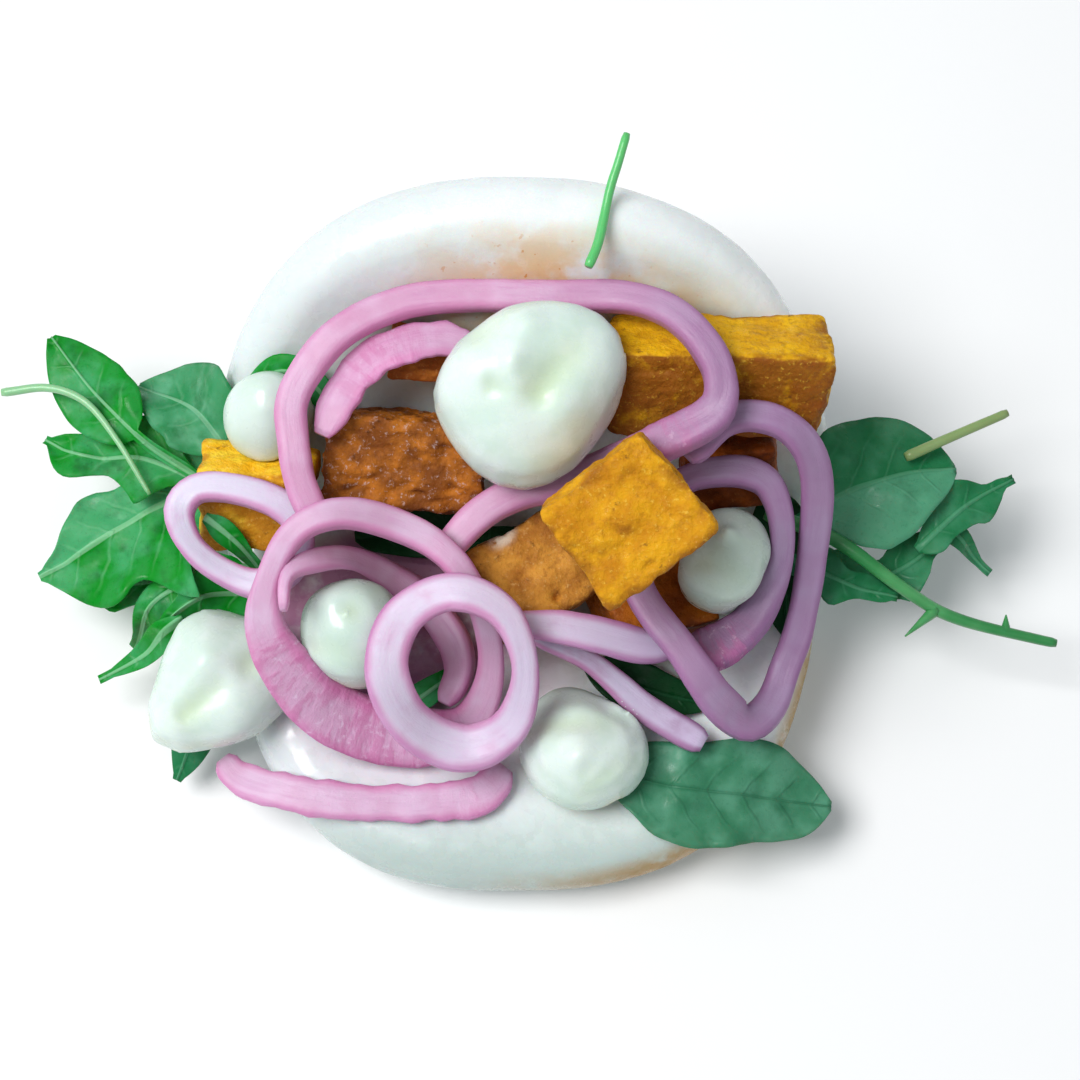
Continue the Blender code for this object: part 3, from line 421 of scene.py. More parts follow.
# A point is x, y and, where they differ from these, the band's width, thickness and twist
ONION_BAND = (4.6, 3.6, 0.0)
ONION_RINGS = {
    "onion_left_ring": [(-50.8, 0, 4.4), (-49, -4.6, 3.8), (-44.5, -7.8, 3.8), (-39, -9.5, 4.5),
                        (-34.5, -7, 4.5), (-33.5, -2.5, 4.2), (-36.3, 1, 4.4), (-42.6, 3.1, 4.2),
                        (-48.2, 3.2, 4.2)],
    "onion_double_outer": [(-8.3, -11.5, 3.8), (-15, -4.5, 4.4), (-25, -1.8, 4.4), (-33, -4.2, 4.0),
                           (-37.4, -10.5, 3.6), (-38, -17, 6, 3.4, 20), (-34.5, -22.5, 9, 3.4, 30),
                           (-29, -26.6, 9.6, 3.4, 30), (-19, -29.2, 9.4, 3.4, 30),
                           (-10, -27.5, 6.5, 3.4, 20), (-6, -20, 4)],
    "onion_small_ring": [(-0.9, -22.5, 3.9), (-4, -15.4, 4.8), (-11.3, -12.6, 5.4), (-18.3, -15.6, 6),
                         (-20.7, -22.5, 6.3), (-17.5, -29.3, 6.6), (-9.7, -32.2, 6.8), (-3, -29.3, 5.6)],
}
ONION_STRIPS = {
    "onion_front_strip": [(-46.5, -31.5, 4, 3), (-43.5, -34.7, 5, 3), (-36, -37.2, 5.6),
                          (-25.5, -38.8, 5.4), (-15, -38.8, 5.6), (-7.7, -37.5, 6), (-4, -33.4, 5)],
    "onion_cut_strip": [(0, -16.5, 2.6, 3), (4.2, -18, 2.8, 3), (8.6, -19.5, 3.2, 3),
                        (12.8, -22.3, 3.8, 3), (16.7, -25.3, 4.2, 3), (25.5, -30.4, 4.6, 3)],
    "onion_inner_ring": [(20, 3.5, 4), (23.2, 5.4, 4), (27, 6.2, 4.4), (31.2, 6.1, 4.6), (34.6, 4.2, 4.2),
                         (36.5, -1, 3.6), (36, -7, 4), (32.5, -13, 5.5, 3.4, 20),
                         (27.4, -16.8, 7.5, 3.4, 25), (23, -17.8, 6.5, 3.4, 15)],
    "onion_middle_strip": [(-4, -15.5, 4), (0.6, -15.6, 4.2), (4.2, -15.9, 4.8), (10.1, -16.8, 5.2),
                           (16.1, -17.7, 5.2), (21, -17.5, 4)],
    "onion_torn_layer": [(-30, 10, 4, 2.6), (-27, 16, 6, 2.6, -15), (-22.5, 20.5, 6.5, 2.6, -20),
                         (-15, 22.9, 6, 2.6, -15), (-8.5, 22.5, 4.5, 2.6)],
    "onion_right_ring": [(22, 6), (27.8, 11.1, 4.4), (34.1, 11.1, 4.4), (39.3, 7.8), (41.4, 2.5),
                         (41.1, -6, 4.4), (39.7, -13.7), (37.8, -18.8), (35.5, -24.5, 5),
                         (31.9, -27.8, 5.6), (27.4, -25.8, 5.6), (24.2, -22.3, 5.2), (21, -17.9),
                         (17.9, -13.9), (15.8, -10.1), (14.5, -5)],
    "onion_big_ring": [(-30.5, -2.5), (-33, 3), (-34, 9), (-34.3, 14), (-32.4, 18.3), (-28, 23.3),
                       (-21.5, 27.1), (-13, 29), (4, 29), (12.5, 28.6), (18.9, 25.9), (23.7, 21.1),
                       (26.4, 15.4, 4.6, 3.8), (25.4, 10.4, 5.5, 3.6, 10), (17.5, 7, 6.4, 3.4, 25),
                       (9.8, 5.8, 5.6, 3.4, 15), (2.6, 4.6, 5.4, 3.4, 10), (-3.2, 2.6, 5),
                       (-8.3, -0.8), (-13.5, -6.5)],
    "onion_double_inner": [(-35, -15.5, 1.8, 3), (-34.6, -10.5, 2, 3), (-31.3, -7.8, 3.4, 3),
                           (-25, -5.7, 3.6, 3, 15), (-17.3, -8.3, 4.8, 3, 25), (-12.2, -14, 5, 3, 25),
                           (-10.8, -19.5, 4.4, 3, 20), (-13, -24.5, 3.4, 3, 10)],
}
ONION_TORN = ("onion_torn_layer", "onion_front_strip")
# The ring that is wide, but too firm to show its wall
ONION_FIRM = ("onion_small_ring",)
# How much of its thickness a limp band has kept
ONION_SUNK = {"onion_front_strip": 0.62, "onion_middle_strip": 0.62, "onion_torn_layer": 0.58,
              "onion_cut_strip": 0.75}
# How far the ridge of a band has lost its colour, and how far the others have
ONION_BLEACHED = {"onion_small_ring": 0.8, "onion_left_ring": 1.0, "onion_cut_strip": 1.0,
                  "onion_middle_strip": 0.9, "onion_front_strip": 0.3, "onion_double_outer": 0.3}
ONION_LEAST_BLEACHED = 0.15
# How pink a band is all over
ONION_ROSY = {"onion_big_ring": 0.4, "onion_torn_layer": 0.3, "onion_double_outer": 0.3,
              "onion_front_strip": 0.3, "onion_double_inner": 0.3}
# The flesh in its two strengths, then its fibres, its skin outside and its film inside
ONION_FLESH = ("#CC9CBE", "#D8BAD6")
ONION_FIBRES = "#BC76AE"
ONION_SKIN = "#BE78AE"
ONION_FILM = "#CC80B2"
# A pink band, a band's wall with its veins and frayed spots, the bands away from the window,
# and a ridge that has lost its colour, with painted light on the left and painted shade on the right
ONION_PINK = "#D27EA8"
ONION_WALL = "#D480B2"
ONION_VEINS = "#C4639C"
ONION_FRAYS = "#E6CDE4"
ONION_DUSKY = "#785884"
ONION_PALED = ("#D6CEE0", "#CABAD6")


def smooth_path(points, closed, step):
    """Points evenly spaced in plan, in metres, on a smooth curve through points in millimetres."""
    knots = [np.array(p, dtype=float) * MM for p in points]
    ends = (knots[-1], knots[0], knots[1]) if closed else (
        2 * knots[0] - knots[1], knots[-1], 2 * knots[-1] - knots[-2])
    ring = [ends[0]] + knots + ([ends[1], ends[2]] if closed else [ends[2]])
    fine = []
    for before, a, b, after in zip(ring, ring[1:], ring[2:], ring[3:]):
        for t in np.linspace(0, 1, 16, endpoint=False):
            fine.append(0.5 * (2 * a + (b - before) * t
                               + (2 * before - 5 * a + 4 * b - after) * t ** 2
                               + (3 * a - before - 3 * b + after) * t ** 3))
    fine.append(knots[0] if closed else knots[-1])
    fine = np.array(fine)
    travelled = np.concatenate([[0], np.cumsum(np.linalg.norm(np.diff(fine[:, :2], axis=0), axis=1))])
    marks = np.linspace(0, travelled[-1], max(int(round(travelled[-1] / step)), 3) + 1)
    if closed:
        marks = marks[:-1]
    return np.stack([np.interp(marks, travelled, fine[:, k]) for k in range(fine.shape[1])], axis=1)


def directions(points, closed):
    """Unit vectors along a path in plan."""
    plan = points[:, :2]
    along = np.roll(plan, -1, axis=0) - np.roll(plan, 1, axis=0) if closed else np.gradient(plan, axis=0)
    return along / np.linalg.norm(along, axis=1)[:, None]


def solid_of(node):
    """The solid of a node, to feel its top and underside."""
    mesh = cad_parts[node].data
    return BVHTree.FromPolygons([v.co for v in mesh.vertices], [list(p.vertices) for p in mesh.polygons])


def felt(solid, x, y):
    """Heights of the underside and top of a solid at (x, y), or nothing beside it."""
    top = solid.ray_cast(Vector((x, y, 1)), Vector((0, 0, -1)))[0]
    under = solid.ray_cast(Vector((x, y, -1)), Vector((0, 0, 1)))[0]
    return (under.z, top.z) if top and under else None


def eased(values, closed, rounds):
    """Values along a path, evened out."""
    for _ in range(rounds):
        before, after = np.roll(values, 1), np.roll(values, -1)
        if not closed:
            before[0], after[-1] = values[0], values[-1]
        values = (before + 2 * values + after) / 4
    return values


def mesh_of(name, spots, faces):
    """A closed mesh with its faces turned outward."""
    mesh = bpy.data.meshes.new(name)
    mesh.from_pydata([tuple(p) for p in spots], [], faces)
    mesh.update()
    bm = bmesh.new()
    bm.from_mesh(mesh)
    bmesh.ops.recalc_face_normals(bm, faces=bm.faces[:])
    bm.to_mesh(mesh)
    bm.free()
    return mesh


def lay_out(mesh, name, places):
    """Let every point of a mesh carry its place along and across the piece."""
    attribute = mesh.attributes.new(name, "FLOAT_VECTOR", "POINT")
    attribute.data.foreach_set("vector", np.asarray(places, dtype=np.float32).ravel())


def middle_heights(node, points, closed, rounds):
    """How high the middle of a solid is along a path, evened out."""
    solid = solid_of(node)
    found = [felt(solid, x, y) for x, y in points[:, :2]]
    known = [i for i, f in enumerate(found) if f]
    heights = np.interp(range(len(points)), known, [sum(found[i]) / 2 for i in known])
    return eased(heights, closed, rounds)


def skin_over(count, sides, closed=False, start=0):
    """Faces over a row of rings of points, with a cap on each end of an open one."""
    faces = []
    for i in range(count if closed else count - 1):
        here, ahead = start + i * sides, start + (i + 1) % count * sides
        for k in range(sides):
            j = (k + 1) % sides
            faces.append((here + k, here + j, ahead + j, ahead + k))
    if not closed:
        last = start + (count - 1) * sides
        faces += [tuple(range(start, start + sides)), tuple(range(last + sides - 1, last - 1, -1))]
    return faces


def lay_onion(node, path, closed, seed):
    """A limp band of onion on the middle line of its solid."""
    points = smooth_path([tuple(p) + ONION_BAND[len(p) - 2:] for p in path], closed, ONION_STEP)
    heights = middle_heights(node, points, closed, 10)
    way = directions(points, closed)
    count = len(points)
    x, y = points[:, 0], points[:, 1]
    turning = np.sum(x * np.roll(y, -1) - y * np.roll(x, -1))
    outward = -1 if turning > 0 else 1
    kept = ONION_SUNK.get(node, 1.0)
    power = ONION_SECTION_POWER
    groove_at, groove_width, groove_depth, groove_fade = ONION_GROOVE
    loop = count * ONION_STEP / (2 * math.pi)
    spots, across_marks, wall_marks, streak_marks, crease_marks = [], [], [], [], []
    for i in range(count):
        width, thickness, twist = points[i, 2], points[i, 3], math.radians(points[i, 4] / MM)
        from_end = count if closed else min(i, count - 1 - i)
        taper = 1 - ONION_END_THINNING * math.exp(-from_end / ONION_END_STEPS)
        wall = float(between(width / MM, *ONION_WALL_WIDTHS)) * (node not in ONION_FIRM)
        turn = 2 * math.pi * i / count
        along = Vector((loop * math.cos(turn), loop * math.sin(turn), seed * 0.01))
        for k in range(ONION_SIDES):
            angle = 2 * math.pi * (k + 0.5) / ONION_SIDES
            c, s = math.cos(angle), math.sin(angle)
            reach = (abs(c) ** power + abs(s) ** power) ** (-1 / power)
            swell = 1 + sum(share * noise.noise(along / (size * MM)) for size, share in ONION_SWELLS)
            fibre_place = Vector((along.x / (9 * MM), along.y / (9 * MM), c * 6 + s * 2 + seed))
            swell += ONION_FIBRE * noise.noise(fibre_place)
            if node in ONION_TORN:
                swell += abs(c) * ONION_TEAR * noise.noise(Vector((i * 0.4, c * 0.8, seed)))
            groove = groove_depth * math.exp(-((c - groove_at) / groove_width) ** 2) * (s > 0)
            groove *= 0.5 + 0.5 * noise.noise(along / (groove_fade * MM))
            wander = 2.5 * noise.noise(Vector((i * 0.3, c * 2, seed)))
            wrinkle = ONION_WRINKLE * wall * math.sin(i * 2.1 + wander)
            across = width / 2 * reach * c * swell * taper
            up = thickness / 2 * reach * s * (swell - groove + wrinkle) * taper * kept
            sideways = across * math.cos(twist) - up * math.sin(twist)
            upward = across * math.sin(twist) + up * math.cos(twist) - (1 - kept) * thickness / 2
            spots.append((x[i] - way[i][1] * sideways, y[i] + way[i][0] * sideways, heights[i] + upward))
            across_marks.append(0.5 + 0.5 * c * reach * outward)
            wall_marks.append(wall)
            streak_marks.append((along.x / MM / ONION_STREAK, along.y / MM / ONION_STREAK,
                                 across / MM * 1.1 + up / MM * 0.4 + seed * 7))
            crease_marks.append((along.x / MM / ONION_CREASE, along.y / MM / ONION_CREASE,
                                 across / MM * 0.22 + seed * 7))
    mesh = mesh_of(node + "_layer", spots, skin_over(count, ONION_SIDES, closed))
    mark(mesh, "across", across_marks)
    mark(mesh, "wall", wall_marks)
    mark(mesh, "bleached", [ONION_BLEACHED.get(node, ONION_LEAST_BLEACHED)] * len(spots))
    mark(mesh, "rosy", [ONION_ROSY.get(node, 0.0)] * len(spots))
    lay_out(mesh, "streak", streak_marks)
    lay_out(mesh, "crease", crease_marks)
    return bpy.data.objects.new(node + "_layer", mesh)


onion = Finish("pickled_onion", 0.42, {"Subsurface Weight": 0.4, "Subsurface Scale": 0.003,
                                       "Subsurface Radius": (1.0, 0.55, 0.8), "Specular IOR Level": 0.35,
                                       "Coat Weight": 0.05, "Coat Roughness": 0.25})
streaks = onion.grain(1.0, 4, 0.6, onion.laid("streak"), 1.0)
onion.colour(onion.mix(*ONION_FLESH, onion.between(onion.grain(8, 2), 0.38, 0.62)))
onion.over(ONION_FIBRES, onion.between(streaks, 0.48, 0.75, 0.5))
onion.over(ONION_SKIN, onion.between(onion.marked("across"), 0.8, 1.0), 0.62)
onion.over(ONION_FILM, onion.between(onion.marked("across"), 0.26, 0.03), 0.58)
onion.over(ONION_PINK, onion.marked("rosy"))
onion.over(ONION_WALL, onion.marked("wall"), 0.6)
onion.over(ONION_DUSKY, onion.between(onion.along("X"), -0.008, 0.034, 0.7))
ridge = onion.times(onion.between(onion.marked("across"), 0.08, 0.3),
                    onion.between(onion.marked("across"), 0.95, 0.72))
uneven = onion.between(onion.grain(6, 3), 0.12, 0.48)
# The pale ridge with painted light on the left and painted shade on the right
paled = onion.mix(*ONION_PALED, onion.between(onion.along("X"), -0.018, 0.032))
onion.over(paled, onion.times(onion.times(ridge, uneven), onion.marked("bleached")))
creases = onion.grain(1.0, 4, 0.6, onion.laid("crease"), 1.0)
veined = onion.times(onion.marked("wall"), onion.between(creases, 0.46, 0.6))
onion.over(ONION_VEINS, veined, 0.45)
frayed = onion.times(onion.marked("wall"), onion.between(onion.grain(1.6, 4, 0.7), 0.56, 0.7))
onion.over(ONION_FRAYS, frayed, 0.5)
onion.rough(onion.between(onion.grain(2.2), -0.6, 0.8, 0.55))
wrinkled = onion.times(creases, onion.sum_of("ADD", onion.marked("wall"), 0.12))
onion.relief((streaks, 0.14), (wrinkled, 0.3), (onion.grain(0.5, 2), 0.05))

for seed, (node, path) in enumerate([*ONION_RINGS.items(), *ONION_STRIPS.items()]):
    serve(lay_onion(node, path, node in ONION_RINGS, seed), onion, "onion", node)

# Fried squash
# Blocks of orange squash, cut by hand and fried. Their faces have dried to a rough, dimpled
# crust, and their edges have browned most. They were dropped in, each on what lay below.
SQUASH_EDGE_POWER = 16
SQUASH_CROOKED = 0.09
SQUASH_CRAG = 0.45 * MM
SQUASH_CRAG_SIZE = 4.5 * MM
SQUASH_CELLS = 34
SQUASH_BELOW_TOP = 0.05 * MM
# Bumps of the crust as their size in millimetres, their seed and their share of its depth
SQUASH_BUMPS = ((2.3, 0, 0.16), (1.1, 4, 0.11), (0.55, 9, 0.06))
# Pits of the crust: their size, their seed, the noise that they start from and their depth
SQUASH_PITS = (1.7, 20, 0.35, 0.55)
SQUASH_SHRUNK = 0.12
# A block is its middle in plan, its size, how it is turned about X, Y and Z, and its seed
SQUASH_BLOCKS = {
    "squash_right": ((29.5, 9.5), (14, 10, 10), (50, 4, 8), 3),
    "squash_under": ((18, -9.5), (16, 11, 10), (0, 6, 20), 5),
    "squash_middle": ((-0.5, -6.0), (15.5, 14.5, 16.5), (6, 6, 30), 8),
    "squash_left": ((-40, 4.5), (17, 13, 11), (46, 0, -3), 7),
    "squash_long": ((26, 19.3), (33, 14, 12), (50, -2, -1), 9),
    "squash_back": ((-15, 22.8), (11, 6, 6.5), (50, 0, -6), 6),
    "squash_brown": ((-18.8, 9.2), (23, 14.5, 10), (27, 0, -4), 10),
    "squash_top": ((13.4, -4.4), (18.5, 16.5, 10.5), (25, -3, 38), 12),
}
# How deep the crust is, how much it is flecked, and its colours: light, usual, browned and
# burnt, then its flecks
SQUASH_CRUSTS = {
    # squash_right and squash_under lie under the pile: their dark crusts are partly painted shade
    "squash_right": (0.8, 0.45, "#A85412", "#863A0A", "#5E2606", "#381806", "#B97A42"),
    "squash_under": (0.8, 0.45, "#B8650E", "#94480A", "#6A2E08", "#3E1C06", "#C98A48"),
    "squash_middle": (0.9, 0.6, "#D69436", "#AA6A20", "#844A16", "#4E260A", "#E6B870"),
    "squash_left": (1.0, 0.45, "#FFD638", "#F6B610", "#B87412", "#7A440E", "#FFE07C"),
    "squash_long": (1.5, 0.45, "#ECB408", "#D69A04", "#86440A", "#56280A", "#F6CC48"),
    "squash_back": (0.8, 0.45, "#CE7A28", "#B45E18", "#8A400E", "#542608", "#E0A060"),
    "squash_brown": (2.7, 0.75, "#BE701C", "#824610", "#6A3410", "#3A1A06", "#D2B8B2"),
    "squash_top": (1.6, 0.6, "#E2A208", "#C88202", "#9A5E0A", "#6C400C", "#F2C64C"),
}
# Where the middle block is bald and where it has holes: x, y and radius
SQUASH_BALD = (-4.8, -1.7, 3.2)
SQUASH_BALD_MIDDLE = 1.2
SQUASH_BARE_FLESH = "#F0E2CC"
SQUASH_HOLES = ((-4.4, -1.4, 0.7), (3.6, -11.0, 0.6))
SQUASH_HOLE_DEPTH = 1.5
# How far a face must turn to the front to be browned and darkened with painted shade all over,
# from and to: on most blocks, and on those that differ
SQUASH_FRONT = (0.5, 0.9)
SQUASH_FRONTS = {"squash_middle": (0.3, 0.8), "squash_long": (0.1, 0.4), "squash_left": (0.2, 0.55),
                 "squash_top": (0.45, 0.8)}
# The two darkest blocks: browned all through, and squash_right darker still with painted shade
SQUASH_BROWNED = ("squash_brown", "squash_right")


def fry_block(node, place, size, turn, seed, depth):
    """A crooked block with puffed edges and a crust, standing where its solid does."""
    rng = random.Random(seed)
    half = Vector(size) * MM / 2
    corners = {(a, b, c): Vector([rng.uniform(-1, 1) * SQUASH_CROOKED for _ in range(3)])
               for a in (-1, 1) for b in (-1, 1) for c in (-1, 1)}
    bm = bmesh.new()
    bmesh.ops.create_cube(bm, size=2.0)
    bmesh.ops.subdivide_edges(bm, edges=bm.edges[:], cuts=SQUASH_CELLS, use_grid_fill=True)
    edge = []
    for vert in bm.verts:
        spot = vert.co.copy()
        far = sorted(abs(c) for c in spot)
        edge.append(far[1])
        spot /= max(sum(abs(c) ** SQUASH_EDGE_POWER for c in spot) ** (1 / SQUASH_EDGE_POWER), 1)
        pull = Vector((0, 0, 0))
        for corner, shift in corners.items():
            pull += shift * math.prod((1 + a * b) / 2 for a, b in zip(corner, spot))
        spot += pull
        block_place = Vector([a * b for a, b in zip(spot, half)])
        crag = noise.noise(block_place / SQUASH_CRAG_SIZE + Vector((seed * 3.1, 0, 0)))
        vert.co = block_place * (1 + crag * SQUASH_CRAG / half.length)
        vert.co += block_place.normalized() * crag * SQUASH_CRAG
    bm.normal_update()
    moves = []
    pit_size, pit_seed, pit_from, pit_depth = SQUASH_PITS
    for vert in bm.verts:
        rise = sum(share * bump_of(vert.co, size, seed + more) for size, more, share in SQUASH_BUMPS)
        pit = max(0, bump_of(vert.co, pit_size, seed + pit_seed) - pit_from)
        moves.append(depth * (rise - pit_depth * pit - SQUASH_SHRUNK))
    for vert, move in zip(bm.verts, moves):
        vert.co += vert.normal * move * MM
    turned = Matrix.Rotation(math.radians(turn[0]), 4, "X") @ Matrix.Rotation(math.radians(turn[1]), 4, "Y")
    turned = turned @ Matrix.Rotation(math.radians(turn[2]), 4, "Z")
    bmesh.ops.transform(bm, matrix=turned, verts=bm.verts[:])
    low, high = [np.array(corner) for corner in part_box(node)]
    mine = np.array([v.co[:] for v in bm.verts])
    shift = (low + high) / 2 - (mine.min(axis=0) + mine.max(axis=0)) / 2
    shift[:2] = np.array(place) * MM
    bmesh.ops.translate(bm, vec=shift, verts=bm.verts[:])
    for vert in bm.verts:
        vert.co.z = min(vert.co.z, high[2] - SQUASH_BELOW_TOP)
    mesh = bpy.data.meshes.new(node + "_crust")
    bm.to_mesh(mesh)
    bm.free()
    bald = np.zeros(len(mesh.vertices))
    if node == "squash_middle":
        for i, vert in enumerate(mesh.vertices):
            x, y = vert.co.x / MM, vert.co.y / MM
            away = math.hypot(x - SQUASH_BALD[0], y - SQUASH_BALD[1])
            bald[i] = 1 - between(away, SQUASH_BALD_MIDDLE, SQUASH_BALD[2])
            if vert.normal.z > 0:
                for hole_x, hole_y, radius in SQUASH_HOLES:
                    away = math.hypot(x - hole_x, y - hole_y) / radius
                    vert.co.z -= SQUASH_HOLE_DEPTH * MM * math.exp(-away ** 4)
    mark(mesh, "bald", bald)
    to_front = [-v.normal.y for v in mesh.vertices]
    # The front mark carries browned colour and painted shade on faces turned to the front
    mark(mesh, "front", between(to_front, *SQUASH_FRONTS.get(node, SQUASH_FRONT)))
    mark(mesh, "edge", between(edge, 0.72, 1.0))
    return bpy.data.objects.new(node + "_crust", mesh)


def crust_finish(node, flecked, light, usual, browned, burnt, fleck):
    crust = Finish(node + "_crust", 0.55, {"Subsurface Weight": 0.05, "Subsurface Scale": 0.002,
                                           "Specular IOR Level": 0.22})
    crust.colour(crust.mix(usual, light, crust.between(crust.grain(4.2, 4), 0.34, 0.66)))
    crust.over(browned, crust.between(crust.grain(1.3, 4, 0.65), 0.5, 0.7), 0.4)
    # Faces turned to the front are browned, and darker with painted shade
    toasted = crust.times(crust.marked("front"), crust.between(crust.grain(5, 4), 0.2, 0.5))
    crust.over(browned, toasted, 0.9)
    along_edge = crust.times(crust.marked("edge"), crust.between(crust.grain(3.1, 4), 0.4, 0.62))
    crust.over(browned, along_edge, 0.85)
    crust.over(burnt, crust.between(crust.grain(2.4, 5, 0.65), 0.62, 0.74), 0.8)
    crust.over(fleck, crust.between(crust.grain(0.8, 4, 0.7), 0.56, 0.72), flecked)
    bare = crust.times(crust.marked("bald"), crust.between(crust.grain(1.8, 4), 0.3, 0.55))
    crust.over(SQUASH_BARE_FLESH, bare, 0.85)
    crust.rough(crust.between(crust.grain(1.5), 0.1, 0.6, 0.65))
    crust.relief((crust.grain(0.4, 4, 0.65), 0.2), (crust.cells(0.9), 0.12))
    return crust


for node, block_shape in SQUASH_BLOCKS.items():
    depth, *crust_colours = SQUASH_CRUSTS[node]
    block = fry_block(node, *block_shape, depth)
    slot = "squash_brown" if node in SQUASH_BROWNED else "squash"
    serve(block, crust_finish(node, *crust_colours), slot, node)

# Cream
# Thick pale cream, piped in dollops with a round nozzle. Each spreads over what it lands on
# and ends in a small peak where the nozzle was pulled away, with a soft fold beside it.
CREAM_CELL = 0.55 * MM
CREAM_EVENING = 9
CREAM_SPREAD = 0.28
# How far, in millimetres, a dollop swells and sinks, and over what length
CREAM_SWELL = 0.3
CREAM_SWELL_SIZE = 5.5
CREAM_SPREADS = {"cream_in_ring": 0.8, "cream_front": 0.12, "cream_right": 0.5, "cream_back_left": 0.5}
# The cream in its two tones, painted shade in its hollows and on its low sides, its oily rim,
# then the dollops away from the window and painted shade over two whole dollops
CREAM_WHITES = ("#DFEDE6", "#D2E5DA")
CREAM_HOLLOW = "#C9DC9C"
CREAM_LOW_SIDE = "#BFD0BC"
CREAM_RIM = "#D2AC5C"
CREAM_SHADED = "#A9BBAA"
# Painted shade over whole dollops
CREAM_JUICY = "#B2CCBE"
# How much painted shade lies over a whole dollop
CREAM_DULL = {"cream_in_ring": 0.4, "cream_back_left": 0.2}
# Peaks and dents of a dollop are (x, y, radius, height), and its folds are
# (from x, from y, to x, to y, width, depth), all in millimetres
CREAM_DOLLOPS = {
    "cream_top": ([(-2.8, 15.6, 1.3, 0.8), (-2.2, 17.5, 2.0, 0.8), (-0.5, 21.5, 2.6, 1.2), (-8, 15, 4, 1.0),
                   (5, 9, 3.5, 0.8)],
                  [(-5.4, 12.8, -3.4, 12.4, 1.4, 0.8), (1.0, 12.5, 6.0, 18, 2.4, 1.5),
                   (-7.5, 20.5, -3.5, 24, 2.0, 0.9)]),
    "cream_left": ([(-48.5, -17.0, 5, 1.0), (-43.0, -28.8, 3.6, 1.5), (-52.3, -29.3, 2.0, 1.0),
                    (-38.5, -13, 3, 0.6)],
                   [(-50.6, -27.2, -46.0, -23.6, 1.7, 1.3), (-41.5, -20.0, -38.0, -16.0, 1.8, 0.9)]),
    "cream_in_ring": ([(-28.8, -11.5, 3.0, 0.8), (-26.0, -14.4, 1.7, -0.9)],
                      [(-31.0, -18.6, -24.5, -20.4, 1.3, 1.0), (-23.5, -9.5, -21.8, -13.0, 1.1, 0.6)]),
    "cream_front": ([(6.2, -34.6, 1.5, 1.1), (6.2, -32.5, 3.6, 0.8), (6.5, -25.5, 3.4, 0.6)],
                    [(0.0, -29.2, 11.0, -28.6, 1.7, 0.9), (7.2, -39.0, 15.0, -33.4, 1.3, 0.9),
                     (7.8, -36.6, 9.4, -35.4, 1.2, 0.5)]),
    "cream_right": ([(28.0, -3.7, 1.1, 2.0), (28.2, -4.2, 3.2, 0.8)],
                    [(24.5, -7.0, 29.5, -8.8, 1.3, 0.6), (31.6, -1.5, 32.4, -4.5, 1.2, 0.5)]),
    "cream_back_left": ([(-38.5, 17.0, 2.0, 0.4)], [(-41.5, 20.5, -36.5, 21.0, 1.1, 0.6)]),
}


def pipe_dollop(node, bumps, folds):
    """A dollop modelled from its solid: evened out, spread to its neighbours, then shaped."""
    rough_shape = bpy.data.objects.new("dollop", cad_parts[node].data.copy())
    scene.collection.objects.link(rough_shape)
    cells = rough_shape.modifiers.new("cells", "REMESH")
    cells.mode = "VOXEL"
    cells.voxel_size = CREAM_CELL
    mesh = bpy.data.meshes.new_from_object(rough_shape.evaluated_get(bpy.context.evaluated_depsgraph_get()))
    bpy.data.objects.remove(rough_shape)
    bm = bmesh.new()
    bm.from_mesh(mesh)
    for _ in range(CREAM_EVENING):
        bmesh.ops.smooth_vert(bm, verts=bm.verts[:], factor=0.5,
                              use_axis_x=True, use_axis_y=True, use_axis_z=True)
    bm.normal_update()
    hollow, low_side = [], []
    for vert in bm.verts:
        x, y = vert.co.x / MM, vert.co.y / MM
        top = max(vert.normal.z, 0)
        rise = 0.0
        for at_x, at_y, radius, height in bumps:
            rise += height * math.exp(-((x - at_x) ** 2 + (y - at_y) ** 2) / radius ** 2)
        dent = 0.0
        for from_x, from_y, to_x, to_y, width, depth in folds:
            run = Vector((to_x - from_x, to_y - from_y))
            share = max(0, min(1, ((x - from_x) * run.x + (y - from_y) * run.y) / run.length_squared))
            beside = math.hypot(x - from_x - share * run.x, y - from_y - share * run.y)
            dent = max(dent, depth * (1 - 0.5 * share) * math.exp(-(beside / width) ** 2))
        vert.co += vert.normal * CREAM_SPREADS.get(node, CREAM_SPREAD) * MM
        vert.co += vert.normal * CREAM_SWELL * bump_of(vert.co, CREAM_SWELL_SIZE, 3) * MM
        vert.co.z += (rise - dent) * top * MM
        # Folds and dents, which take painted shade
        hollow.append(min(dent * top * 0.8 + max(-rise, 0) * top, 1))
        low_side.append(vert.normal.z)
    bm.to_mesh(mesh)
    bm.free()
    mesh.name = node + "_dollop"
    mark(mesh, "hollow", hollow)
    # Low sides, which take painted shade and the oily rim
    mark(mesh, "low_side", 1 - between(low_side, -0.35, 0.45))
    # Painted shade over the whole dollop
    mark(mesh, "dull", [CREAM_DULL.get(node, 0)] * len(hollow))
    return bpy.data.objects.new(node + "_dollop", mesh)


cream = Finish("cream", 0.45, {"Subsurface Weight": 0.3, "Subsurface Scale": 0.003,
                               "Subsurface Radius": (1.0, 0.9, 0.6), "Coat Weight": 0.08,
                               "Coat Roughness": 0.3})
cream.colour(cream.mix(*CREAM_WHITES, cream.between(cream.grain(6), 0.35, 0.65)))
# Painted shade with a yellow-green glow in the folds and dents
cream.over(CREAM_HOLLOW, cream.marked("hollow"), 0.45)
# Painted shade on the low sides
cream.over(CREAM_LOW_SIDE, cream.marked("low_side"), 0.5)
rim = cream.times(cream.marked("low_side"), cream.between(cream.grain(7, 2), 0.5, 0.62))
cream.over(CREAM_RIM, rim, 0.5)
cream.over(CREAM_SHADED, cream.between(cream.along("X"), 0.014, 0.03, 0.5))
